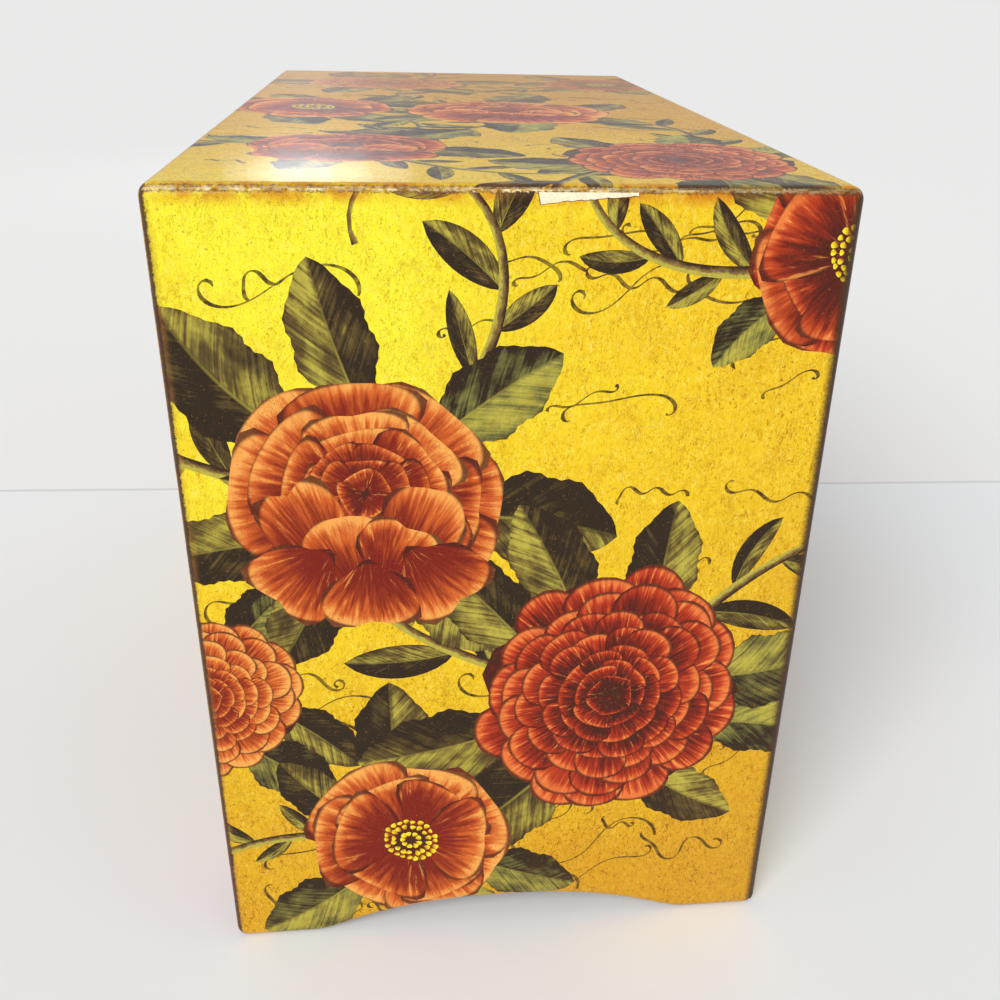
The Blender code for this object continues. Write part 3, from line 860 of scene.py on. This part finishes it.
def petal_paint(nodes):
    along, across, seed, _ = nodes.attribute("spot")
    tone = nodes.attribute("tone")[0]
    side = nodes.scaled(along, 2.0, -1.0)
    wide = nodes.math("DIVIDE", across, nodes.scaled(side, EGG_SHARE, 1.0))
    reach = nodes.math("SQRT", nodes.plus(nodes.times(side, side), nodes.times(wide, wide)))
    brush = streaks(nodes, along, across, seed)
    light = nodes.scaled(brush, 1.5, -1.12)
    light = nodes.plus(light, nodes.times(along, 1.14))
    light = nodes.plus(light, nodes.scaled(seed, 0.30, -0.15))
    light = nodes.plus(light, nodes.scaled(across, -0.16, nodes.attribute("tone")[1]))
    light = nodes.plus(light, nodes.span(reach, 0.62, 0.9, 0.0, 0.24))
    red = nodes.ramp(light, (0.08, MAROON), (1.05, CORAL), (0.38, CRIMSON), (0.72, SCARLET))
    orange = nodes.ramp(light, (0.05, CRIMSON), (1.0, APRICOT), (0.30, RUST), (0.62, ORANGE))
    colour = nodes.mix(nodes.span(tone, 0.2, 0.8), red, orange)
    dabs = nodes.times(nodes.span(brush, 0.60, 0.66), nodes.span(reach, 0.35, 0.75, 0.0, 0.5))
    colour = nodes.mix(dabs, colour, APRICOT)
    return nodes.mix(nodes.span(reach, 0.90, 0.965, 0.0, 0.88), colour, MAROON)


def leaf_paint(nodes):
    """A dark half and a lit one, hatched along the veins, with a fine pale rib between them."""
    along, across, seed, _ = nodes.attribute("spot")
    tone = nodes.attribute("tone")[0]
    off = nodes.math("ABSOLUTE", across)
    belly = nodes.times(nodes.times(along, nodes.math("SUBTRACT", 1.0, along)), 4.0)
    edge = nodes.math("DIVIDE", off, nodes.plus(nodes.math("POWER", belly, LEAF_POWER), 0.02))
    vein = nodes.scaled(off, -0.34, along)
    folds = nodes.math("ABSOLUTE", nodes.math("SINE", nodes.times(vein, 25.0)))
    own = nodes.times(seed, 40.0)
    hatch = nodes.noise(nodes.vector(nodes.times(vein, 26.0), across, own), 1.0, 4.0, 0.65)
    broad = nodes.noise(nodes.vector(nodes.times(along, 2.2), across, own), 1.5, 3.0, 0.6)
    light = nodes.scaled(hatch, 1.3, nodes.scaled(broad, 1.6, -1.06))
    half = nodes.scaled(nodes.span(seed, 0.45, 0.55), 2.0, -1.0)
    light = nodes.plus(light, nodes.span(nodes.times(across, half), -0.05, 0.08, -0.24, 0.24))
    light = nodes.plus(light, nodes.span(folds, 0.0, 0.4, -0.10, 0.06))
    light = nodes.plus(light, nodes.scaled(seed, 0.3, -0.15))
    light = nodes.math("SUBTRACT", light, nodes.span(edge, 0.4, 1.0, 0.0, 0.18))
    brown = nodes.ramp(light, (0.15, DARK_OLIVE), (0.95, STRAW), (0.52, OLIVE))
    green = nodes.ramp(light, (0.12, DARK_OLIVE), (0.92, STRAW), (0.45, SAGE))
    colour = nodes.mix(nodes.span(tone, 0.45, 0.75), brown, green)
    rib = nodes.times(nodes.span(off, 0.012, 0.045, 0.55, 0.0), nodes.span(along, 0.1, 0.95, 1.0, 0.2))
    colour = nodes.mix(rib, colour, STRAW)
    return nodes.mix(nodes.span(edge, 0.88, 0.99, 0.0, 0.75), colour, SEPIA)


def stem_paint(nodes):
    along, across, seed, _ = nodes.attribute("spot")
    tone = nodes.attribute("tone")[0]
    place = nodes.vector(nodes.times(along, 30.0), across, nodes.times(seed, 30.0))
    brush = nodes.noise(place, 1.4, 4.0, 0.65)
    light = nodes.scaled(across, 0.75, nodes.times(brush, 1.25))
    light = nodes.scaled(tone, 0.25, light)
    return nodes.ramp(light, (0.35, SEPIA), (1.2, STRAW), (0.78, TAN))


def grain_paint(nodes):
    along, across, seed, _ = nodes.attribute("spot")
    light = nodes.scaled(seed, 0.3, nodes.scaled(across, 0.3, nodes.times(along, 0.8)))
    return nodes.ramp(light, (0.1, STAIN), (0.9, LEMON), (0.5, GOLD))


def shade_paint(nodes):
    place = nodes.attribute("page")[3]
    return nodes.ramp(nodes.noise(place, 0.35, 4.0, 0.6), (0.3, UMBER), (0.75, CRIMSON), (0.55, MAROON))


def ink_paint(nodes):
    place = nodes.attribute("page")[3]
    ground = parchment(nodes)
    fade = nodes.noise(place, 0.6, 3.0, 0.6)
    return nodes.mix(nodes.span(fade, 0.34, 0.66, 0.97, 0.7), ground, SEPIA)


def torn_paint(nodes):
    place = nodes.attribute("page")[3]
    fibres = nodes.noise(nodes.stretched(place, (0.6, 1.6, 1)), 2.2, 5.0, 0.7)
    return nodes.ramp(fibres, (0.22, OCHRE), (0.6, TORN), (0.36, CREAM))


def rim_paint(nodes):
    place = nodes.attribute("page")[3]
    return nodes.ramp(nodes.noise(place, 1.2, 3.0), (0.3, UMBER), (0.75, STAIN))


def aged(nodes, colour):
    """The print after long use: finely cracked along its brush marks, mottled and specked, and darker far
    from its bright point, partly as painted shade.
    """
    place = nodes.attribute("page")[3]
    long_place = nodes.stretched(place, (1.0, 0.45, 1.0))
    cells = nodes.noise(long_place, 0.75, 5.0, 0.62, 0.8)
    cracks = nodes.math("ABSOLUTE", nodes.math("SUBTRACT", cells, 0.5))
    cracks = nodes.span(cracks, 0.0, 0.028, 1.0, 0.0)
    patches = nodes.span(nodes.noise(place, 0.09, 3.0, 0.55), 0.38, 0.66, 0.10, 0.45)
    colour = nodes.mix(nodes.times(cracks, patches), colour, STAIN, "MULTIPLY")
    mottle = nodes.span(nodes.noise(long_place, 0.5, 5.0, 0.7), 0.45, 0.72, 0.0, 0.30)
    colour = nodes.mix(mottle, colour, BLOTCH, "MULTIPLY")
    specks = nodes.span(nodes.noise(place, 1.6, 3.0, 0.75), 0.64, 0.675, 0.0, 0.75)
    colour = nodes.mix(specks, colour, STAIN)
    # Far from the bright point the print darkens towards varnish brown: partly yellowed varnish, partly
    # painted shade
    yellowed_and_shaded = nodes.span(nodes.attribute("tone")[2], 0.85, 1.5, 0.0, 0.55)
    return nodes.mix(yellowed_and_shaded, colour, VARNISH_AND_SHADE), cells


def worn(nodes, colour):
    """The edges: a dark ragged line along each seam, along the upper ones a pale one, rubbed through, and
    along the front corners grime and painted shade.
    """
    reach, rubbed, grime_and_shade_sides, _ = nodes.attribute("wear")
    place = nodes.attribute("page")[3]
    ragged = nodes.noise(place, 1.6, 4.0, 0.7)
    broad = nodes.noise(place, 0.16, 2.0, 0.5)
    uneven = nodes.scaled(nodes.math("SUBTRACT", ragged, 0.5), 2.2, reach)
    tint = nodes.times(nodes.span(uneven, 1.2, 4.4, 0.75, 0.0), rubbed)
    colour = nodes.mix(nodes.times(tint, nodes.span(broad, 0.35, 0.65, 0.25, 1.0)), colour, AMBER, "MULTIPLY")
    halo = nodes.times(nodes.span(uneven, 0.6, 2.6, 0.6, 0.0), nodes.span(broad, 0.3, 0.7, 0.45, 1.0))
    colour = nodes.mix(nodes.times(halo, nodes.scaled(rubbed, -0.6, 1.0)), colour, STAIN)
    # Grime and painted shade along the front corners, which turn away from the light
    grime_and_shade = nodes.times(nodes.span(uneven, 1.0, 3.4, 0.9, 0.0), grime_and_shade_sides)
    colour = nodes.mix(grime_and_shade, colour, UMBER)
    line = nodes.span(uneven, 0.55, 1.15, 0.95, 0.0)
    gaps = nodes.span(nodes.noise(place, 0.8, 3.0, 0.7), 0.42, 0.60, 0.0, 0.8)
    line = nodes.times(line, nodes.scaled(nodes.times(gaps, rubbed), -1.0, 1.0))
    colour = nodes.mix(line, colour, UMBER)
    pale = nodes.times(nodes.span(uneven, 0.35, 0.75, 1.0, 0.0), rubbed)
    pale = nodes.times(pale, nodes.span(broad, 0.36, 0.62, 1.0, 0.45))
    # The pale rub is stronger near the bright point, following the ground's painted light there
    pale = nodes.times(pale, nodes.span(nodes.attribute("tone")[2], 0.25, 0.6, 1.0, 0.35))
    rub = nodes.ramp(nodes.noise(place, 0.9, 5.0, 0.75), (0.36, STAIN), (0.56, CREAM), (0.45, OCHRE))
    return nodes.mix(pale, colour, rub)


def varnished(name, paint):
    """A part of the print under its brushed varnish."""
    nodes = Nodes(name)
    colour, cells = aged(nodes, paint(nodes))
    if paint is not torn_paint:
        colour = worn(nodes, colour)
    nodes.surface(Base_Color=colour)
    place = nodes.attribute("page")[3]
    gloss = nodes.noise(place, 0.25, 3.0, 0.6)
    nodes.surface(Roughness=nodes.span(gloss, 0.2, 0.8, 0.36, 0.50))
    fine = nodes.noise(nodes.stretched(place, (1.0, 0.5, 1.0)), 2.4, 3.0, 0.6)
    relief = nodes.bump(cells, 0.0004, 0.5)
    nodes.surface(Normal=nodes.bump(fine, 0.00012, 0.4, relief))
    nodes.surface(Specular_IOR_Level=0.12, Coat_Weight=0.15, Coat_Roughness=0.09)
    return nodes.material


def wood(name, grain, dark, light):
    """Planed wood whose grain runs along one axis."""
    nodes = Nodes(name)
    place = nodes.add("ShaderNodeTexCoord").outputs["Object"]
    squeeze = tuple(0.08 if axis == grain else 1.0 for axis in "XYZ")
    along = nodes.stretched(place, squeeze)
    bands = nodes.noise(along, 160.0, 4.0, 0.55, 0.7)
    pores = nodes.noise(along, 900.0, 3.0, 0.6)
    light_share = nodes.scaled(pores, 0.35, nodes.times(bands, 0.75))
    nodes.surface(Base_Color=nodes.ramp(light_share, (0.35, dark), (0.72, light)))
    nodes.surface(Roughness=nodes.span(bands, 0.3, 0.7, 0.5, 0.68))
    nodes.surface(Normal=nodes.bump(light_share, 0.0002, 0.35))
    return nodes.material


def metal(name, dull, bright, rough):
    """Turned metal that has tarnished unevenly."""
    nodes = Nodes(name)
    place = nodes.add("ShaderNodeTexCoord").outputs["Object"]
    tarnish = nodes.noise(place, 210.0, 5.0, 0.65)
    grain = nodes.noise(nodes.stretched(place, (1.0, 6.0, 1.0)), 900.0, 2.0)
    colour = nodes.ramp(tarnish, (0.32, dull), (0.60, bright))
    nodes.surface(Base_Color=colour)
    nodes.surface(Roughness=nodes.span(tarnish, 0.3, 0.65, rough + 0.2, rough))
    nodes.surface(Normal=nodes.bump(grain, 0.00006, 0.3))
    nodes.surface(Metallic=1.0)
    return nodes.material


def cloth(name, deep, lit, pile):
    """Felt or velvet, with a nap that catches the light."""
    nodes = Nodes(name)
    place = nodes.add("ShaderNodeTexCoord").outputs["Object"]
    nap = nodes.noise(place, 95.0, 4.0, 0.6, 0.5)
    fibres = nodes.noise(place, pile, 4.0, 0.7)
    blend = nodes.scaled(fibres, 0.6, nodes.times(nap, 0.5))
    nodes.surface(Base_Color=nodes.ramp(blend, (0.35, deep), (0.75, lit)))
    nodes.surface(Roughness=nodes.span(fibres, 0.3, 0.7, 0.82, 0.95))
    nodes.surface(Normal=nodes.bump(fibres, 0.0003, 0.5))
    nodes.surface(Sheen_Weight=0.5, Sheen_Roughness=0.45, Sheen_Tint=SHEEN)
    return nodes.material


# Pieces

def add_piece(name, mesh, material, body, slot, *replaced):
    made = placed(name, mesh)
    mesh.materials.clear()
    mesh.materials.append(material)
    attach(made, body)
    if replaced:
        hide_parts(*replaced)
    return made


def inset_copy(node, low, high, floor_kept, front_only=False):
    """A copy of a node's mesh, drawn in from a box's faces so that it lies just under the paper."""
    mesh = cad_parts[node].data.copy()
    points = numpy.array([vertex.co for vertex in mesh.vertices])
    low, high = numpy.array(low), numpy.array(high)
    new_low, new_high = low + BOARD_INSET * MM, high - BOARD_INSET * MM
    if floor_kept:
        new_low[2] = low[2]
    if front_only:
        new_high[1] = high[1]
    points = new_low + (points - low) * (new_high - new_low) / (high - low)
    mesh.vertices.foreach_set("co", points.astype(numpy.float32).ravel())
    mesh.update()
    return mesh


def case_boards(stuff):
    """The wooden boards of the case, which the papers cover."""
    low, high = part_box("left_end_panel")[0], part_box("right_end_panel")[1]
    high.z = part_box("top_panel")[1].z
    grains = {
        "left_end_panel": "Z", "right_end_panel": "Z", "top_panel": "X", "back_panel": "X",
        "front_apron": "X", "bottom_panel": "X", "lower_shelf": "X", "upper_shelf": "X",
    }
    for node, grain in grains.items():
        mesh = inset_copy(node, low, high, floor_kept=True)
        add_piece(f"{node}_board", mesh, stuff[f"wood_{grain}"], "case", "bare_wood", node)


def drawer_boards(stuff):
    for name in DRAWERS:
        node = f"{name}_drawer_front"
        low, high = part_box(node)
        mesh = inset_copy(node, low, high, floor_kept=False, front_only=True)
        add_piece(f"{node}_board", mesh, stuff["wood_X"], f"{name}_drawer", "bare_wood", node)


def face_sheets():
    """The sheets of paper over the case's faces."""
    low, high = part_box("left_end_panel")[0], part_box("right_end_panel")[1]
    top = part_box("top_panel")[1].z
    length, depth, height = (high.x - low.x) / MM, (high.y - low.y) / MM, top / MM
    wall_turns = (SEAM_TURN, SEAM_TURN, FOOT_TURN, SEAM_TURN)
    lid_turns = (SEAM_TURN,) * 4
    near, far, left, right = low.y, high.y, low.x, high.x
    rise = (0, 0, 1)
    wall = (EDGE_RADIUS, wall_turns)
    return [
        Sheet(
            "left_end_paper", (left, far, 0), (0, -1, 0), rise, (depth, height), *wall,
            rubbed=(3,), grime_and_shade_sides=(1,), board="left_end_panel"
        ),
        Sheet(
            "right_end_paper", (right, near, 0), (0, 1, 0), rise, (depth, height), *wall,
            rubbed=(3,), grime_and_shade_sides=(0,), board="right_end_panel"
        ),
        Sheet(
            "front_frame_paper", (left, near, 0), (1, 0, 0), rise, (length, height), *wall,
            grime_and_shade_sides=(0, 1), board="front_apron", holes=bay_holes(left)
        ),
        Sheet("back_paper", (right, far, 0), (-1, 0, 0), rise, (length, height), *wall, board="back_panel"),
        Sheet(
            "top_paper", (left, far, top), (0, -1, 0), (1, 0, 0), (depth, length), EDGE_RADIUS, lid_turns,
            rubbed=(2, 3), bright=(0.2, -0.35)
        ),
    ]


def bay_holes(left):
    """The mouths of the drawers' bays, as flat rectangles in the sheet over the front of the case."""
    floors = ("bottom_panel", "lower_shelf", "upper_shelf")
    ceilings = ("lower_shelf", "upper_shelf", "top_panel")
    start = (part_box("left_end_panel")[1].x - left) / MM
    end = (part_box("right_end_panel")[0].x - left) / MM
    holes = []
    for floor, ceiling in zip(floors, ceilings):
        holes.append((start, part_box(floor)[1].z / MM, end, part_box(ceiling)[0].z / MM))
    return holes


def papers(skins):
    for sheet in face_sheets():
        if sheet.name == "left_end_paper":
            drawing = left_end_drawing(sheet.width, sheet.height)
        else:
            room = TOP_BUNCH_ROOM if sheet.name == "top_paper" else BUNCH_ROOM
            drawing = scattered(sheet.width, sheet.height, SHEET_SEEDS[sheet.name], room)
        sheet_object(sheet, drawing.spots(), skins, "case")
    for number, name in enumerate(DRAWERS):
        low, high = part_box(f"{name}_drawer_front")
        size = ((high.x - low.x) / MM, (high.z - low.z) / MM)
        turns = (DRAWER_TURN,) * 4
        paper = f"{name}_drawer_front_paper"
        sheet = Sheet(paper, low, (1, 0, 0), (0, 0, 1), size, DRAWER_EDGE_RADIUS, turns)
        drawing = scattered(*size, FIRST_DRAWER_SEED + number, BUNCH_ROOM)
        sheet_object(sheet, drawing.spots(), skins, f"{name}_drawer")


def soft_linings(felt):
    """The felt on each drawer's bottom: one laid piece with a slightly uneven face and soft edges."""
    for name in DRAWERS:
        node = f"{name}_drawer_lining"
        low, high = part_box(node)
        mesh = felt_mesh(node, low, high)
        made = add_piece(f"{name}_felt_lining", mesh, felt, f"{name}_drawer", "felt", node)


def felt_mesh(name, low, high):
    rng = random.Random(name)
    size = high - low
    columns, rows = round(size.x / FELT_GRID), round(size.y / FELT_GRID)
    shape = bmesh.new()
    bmesh.ops.create_grid(shape, x_segments=columns, y_segments=rows, size=0.5)
    drop = FELT_EDGE_SHARE * size.z
    for point in shape.verts:
        rim = max(abs(point.co.x), abs(point.co.y)) > 0.499
        point.co = Vector((
            low.x + size.x * (point.co.x + 0.5),
            low.y + size.y * (point.co.y + 0.5),
            high.z - (drop if rim else rng.uniform(0, FELT_UNEVEN_SHARE) * size.z),
        ))
    made = bmesh.ops.extrude_face_region(shape, geom=shape.faces[:])
    for point in (item for item in made["geom"] if isinstance(item, bmesh.types.BMVert)):
        point.co.z = low.z
    bmesh.ops.recalc_face_normals(shape, faces=shape.faces)
    mesh = smooth_mesh(name, shape)
    return mesh


def smooth_mesh(name, shape):
    """The smooth mesh made from a bmesh, which is freed."""
    mesh = bpy.data.meshes.new(name)
    shape.to_mesh(mesh)
    shape.free()
    mesh.shade_smooth()
    return mesh


def ring_rolls(velvet):
    """The padded rolls: upright shoulders under a full crown, drawn in and gathered at both ends."""
    for number in range(1, 7):
        node = f"ring_roll_{number}"
        low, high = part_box(node)
        mesh = roll_mesh(node, low, high)
        made = add_piece(f"padded_roll_{number}", mesh, velvet, "top_drawer", "felt", node)


def roll_mesh(name, low, high):
    size = high - low
    rounds, steps = ROLL_ROUNDS, ROLL_STEPS
    rng = random.Random(name)
    phase = rng.uniform(0, math.tau)
    points, faces = [], []
    for step in range(steps + 1):
        along = step / steps
        end = min(along, 1 - along) * size.x / ROLL_END
        full = 1 - 0.42 * max(0, 1 - end) ** 3
        full *= 1 - 0.012 * (1 + math.sin(9 * along + phase))
        for turn in range(rounds):
            angle = math.tau * turn / rounds
            across, up = math.cos(angle), math.sin(angle)
            across = math.copysign(abs(across) ** 0.72, across)
            up = math.copysign(abs(up) ** (0.9 if up > 0 else 0.35), up)
            half = 1 - ROLL_MIDDLE_SHARE if up > 0 else ROLL_MIDDLE_SHARE
            points.append((
                low.x + size.x * along,
                (low.y + high.y) / 2 + size.y / 2 * across * full,
                low.z + size.z * (ROLL_MIDDLE_SHARE + half * up * full),
            ))
    for step in range(steps):
        for turn in range(rounds):
            here, after = step * rounds + turn, step * rounds + (turn + 1) % rounds
            faces.append((here, after, after + rounds, here + rounds))
    for start, inward in ((0, False), (steps * rounds, True)):
        ring = list(range(start, start + rounds))
        faces.append(ring if inward else ring[::-1])
    mesh = bpy.data.meshes.new(name)
    mesh.from_pydata(points, [], faces)
    shape = bmesh.new()
    shape.from_mesh(mesh)
    bmesh.ops.recalc_face_normals(shape, faces=shape.faces)
    shape.to_mesh(mesh)
    shape.free()
    mesh.shade_smooth()
    mesh.set_sharp_from_angle(angle=TURNED_SHARP)
    return mesh


def turned_knobs(brass):
    """The knobs, turned through the rings of the plainer CAD knobs, each with the bore for its screw."""
    for drawer in DRAWERS:
        for side in ("left", "right"):
            node = f"{drawer}_drawer_{side}_knob"
            add_piece(f"{node}_turned", knob_mesh(node), brass, f"{drawer}_drawer", "brass", node)


def knob_mesh(name):
    low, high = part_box(name)
    axis = (low + high) / 2
    points = numpy.array([vertex.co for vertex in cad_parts[name].data.vertices])
    off = numpy.hypot(points[:, 0] - axis.x, points[:, 2] - axis.z)
    out = high.y - points[:, 1]
    bore = off[out < TINY].min()
    depth = out[abs(off - bore) < TINY].max()
    levels = numpy.unique(out[off > bore + TINY].round(6))
    rings = [(off[abs(out - level) < TINY].max(), level) for level in levels]
    outline = [(0.0, depth), (bore, depth), (bore, 0.0)] + smooth_line(rings) + [(0.0, out.max())]
    shape = bmesh.new()
    grid = []
    for reach, level in outline:
        ring = []
        for turn in range(KNOB_ROUNDS):
            angle = math.tau * turn / KNOB_ROUNDS
            ring.append(shape.verts.new((
                axis.x + reach * math.cos(angle), high.y - level, axis.z + reach * math.sin(angle)
            )))
        grid.append(ring)
    for one, other in zip(grid, grid[1:]):
        for turn in range(KNOB_ROUNDS):
            after = (turn + 1) % KNOB_ROUNDS
            shape.faces.new((one[turn], one[after], other[after], other[turn]))
    bmesh.ops.remove_doubles(shape, verts=shape.verts, dist=TINY)
    bmesh.ops.recalc_face_normals(shape, faces=shape.faces)
    mesh = smooth_mesh(name, shape)
    mesh.set_sharp_from_angle(angle=TURNED_SHARP)
    return mesh


def smooth_line(rings):
    """A curve through rings of (radius, distance) that is no wider than the widest of them."""
    widest = max(ring[0] for ring in rings)
    ends = [rings[0]] + rings + [rings[-1]]
    line = []
    for before, here, after, last in zip(ends, ends[1:], ends[2:], ends[3:]):
        for step in range(KNOB_FINENESS):
            share = step / KNOB_FINENESS
            point = []
            for a, b, c, d in zip(before, here, after, last):
                bend = (2 * a - 5 * b + 4 * c - d) * share + (3 * b - a - 3 * c + d) * share ** 2
                point.append(b + share * (c - a + bend) / 2)
            line.append((min(point[0], widest), point[1]))
    return line + [rings[-1]]


def dress_nodes(stuff):
    """Better materials on the CAD nodes that stay in sight."""
    for name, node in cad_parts.items():
        if node.hide_render:
            continue
        if name.endswith("screw"):
            skin = stuff["steel"]
        elif name.endswith("side") or "cross_divider_" in name or name.endswith("partition"):
            skin = stuff["wood_Y"]
        else:
            skin = stuff["wood_X"]
        node.data.materials.clear()
        node.data.materials.append(skin)


# The stage

def floor():
    """A wide pale floor that gets a little brighter past the line behind the chest, with a thin painted shade
    line along it.
    """
    mesh = bpy.data.meshes.new("floor")
    corners = [(-FLOOR_REACH, -FLOOR_REACH, 0), (FLOOR_REACH, -FLOOR_REACH, 0)]
    corners += [(FLOOR_REACH, FLOOR_REACH, 0), (-FLOOR_REACH, FLOOR_REACH, 0)]
    mesh.from_pydata(corners, [], [(0, 1, 2, 3)])
    made = placed("floor", mesh)
    nodes = Nodes("pale_floor")
    place = nodes.add("ShaderNodeTexCoord").outputs["Object"]
    x, y, _ = nodes.add("ShaderNodeSeparateXYZ", {0: place}).outputs
    off_line = nodes.math("SUBTRACT", nodes.scaled(y, -LINE_SLOPE, x), LINE_PLACE)
    tone = nodes.noise(place, 3.0, 2.0)
    near = nodes.ramp(tone, (0.3, FLOOR_TONES[0]), (0.7, FLOOR_TONES[1]))
    colour = nodes.mix(nodes.span(off_line, 0.0, 0.002), near, FLOOR_PAST_LINE)
    # A thin grey line of painted shade where a wall would meet the floor
    corner_shade = nodes.span(nodes.math("ABSOLUTE", off_line), 0.0004, 0.0018, 0.5, 0.0)
    nodes.surface(Base_Color=nodes.mix(corner_shade, colour, CORNER_SHADE))
    nodes.surface(Roughness=0.9, Specular_IOR_Level=0.0)
    mesh.materials.append(nodes.material)


def area_lamp(name, place, aim, width, height, power):
    data = bpy.data.lights.new(name, "AREA")
    data.shape = "ELLIPSE"
    data.size, data.size_y = width, height
    data.energy = power
    lamp = placed(name, data)
    lamp.location = place
    lamp.rotation_euler = (Vector(aim) - Vector(place)).to_track_quat("-Z", "Y").to_euler()


def pale_room():
    """An even pale light, which looks paler still where it is seen itself or in a reflection."""
    world = bpy.data.worlds.new("pale_room")
    world.use_nodes = True
    tree = world.node_tree
    background = tree.nodes["Background"]
    background.inputs["Color"].default_value = (1, 1, 1, 1)
    path = tree.nodes.new("ShaderNodeLightPath")
    seen = path.outputs["Is Camera Ray"]
    for kind in ("Is Glossy Ray", "Is Transmission Ray"):
        either = tree.nodes.new("ShaderNodeMath")
        either.operation = "MAXIMUM"
        tree.links.new(seen, either.inputs[0])
        tree.links.new(path.outputs[kind], either.inputs[1])
        seen = either.outputs[0]
    strength = tree.nodes.new("ShaderNodeMapRange")
    strength.inputs["To Min"].default_value = ROOM_LIGHT
    strength.inputs["To Max"].default_value = ROOM_SEEN
    tree.links.new(seen, strength.inputs["Value"])
    tree.links.new(strength.outputs[0], background.inputs["Strength"])
    bpy.context.scene.world = world


def lighting():
    pale_room()
    data = bpy.data.lights.new("key", "SUN")
    data.energy = KEY_STRENGTH
    data.angle = KEY_ANGLE
    key = placed("key", data)
    key.rotation_euler = Vector(KEY_AIM).to_track_quat("-Z", "Y").to_euler()
    width, height = WINDOW_SIZE
    for share, power in WINDOW_LAMPS:
        place = WINDOW_PLACE + WINDOW_DRIFT * (1 - share) + WINDOW_LIFT * share
        area_lamp(f"window_{share}", place, WINDOW_AIM, width * share, height * share, power)


def camera():
    """The photograph's camera, from a fit to the chest's outline."""
    focal_px, frame_px, sensor_mm = 1065.8, 1000, 36
    middle_px = (530, 515)
    pitch, yaw, roll = math.radians(26.59), math.radians(6.77), math.radians(1.53)
    place = Vector((-0.3721, 0.0288, 0.2466))
    forward = Vector((math.cos(pitch) * math.cos(yaw), -math.cos(pitch) * math.sin(yaw), -math.sin(pitch)))
    level = forward.cross(Vector((0, 0, 1))).normalized()
    upright = level.cross(forward)
    right = level * math.cos(roll) + upright * math.sin(roll)
    up = upright * math.cos(roll) - level * math.sin(roll)
    data = bpy.data.cameras.new("camera")
    data.sensor_width = sensor_mm
    data.lens = focal_px / frame_px * sensor_mm
    data.shift_x = 0.5 - middle_px[0] / frame_px
    data.shift_y = middle_px[1] / frame_px - 0.5
    made = placed("camera", data)
    made.matrix_world = Matrix.Translation(place) @ Matrix((right, up, -forward)).transposed().to_4x4()
    bpy.context.scene.camera = made


def main():
    paints = {
        "ground": parchment, "shade": shade_paint, "stem": stem_paint, "leaf": leaf_paint,
        "petal": petal_paint, "grain": grain_paint, "ink": ink_paint, "torn": torn_paint, "rim": rim_paint,
    }
    skins = {name: varnished(f"print_{name}", paint) for name, paint in paints.items()}
    stuff = {f"wood_{axis}": wood(f"bare_wood_{axis}", axis, *WOOD) for axis in "XYZ"}
    stuff["brass"] = metal("aged_brass", *BRASS, 0.22)
    stuff["steel"] = metal("screw_steel", *STEEL, 0.3)
    case_boards(stuff)
    drawer_boards(stuff)
    papers(skins)
    soft_linings(cloth("red_felt", *FELT, 900.0))
    ring_rolls(cloth("red_velvet", *VELVET, 1400.0))
    turned_knobs(stuff["brass"])
    dress_nodes(stuff)
    floor()
    lighting()
    camera()


main()
bpy.context.scene.view_settings.view_transform = "Standard"
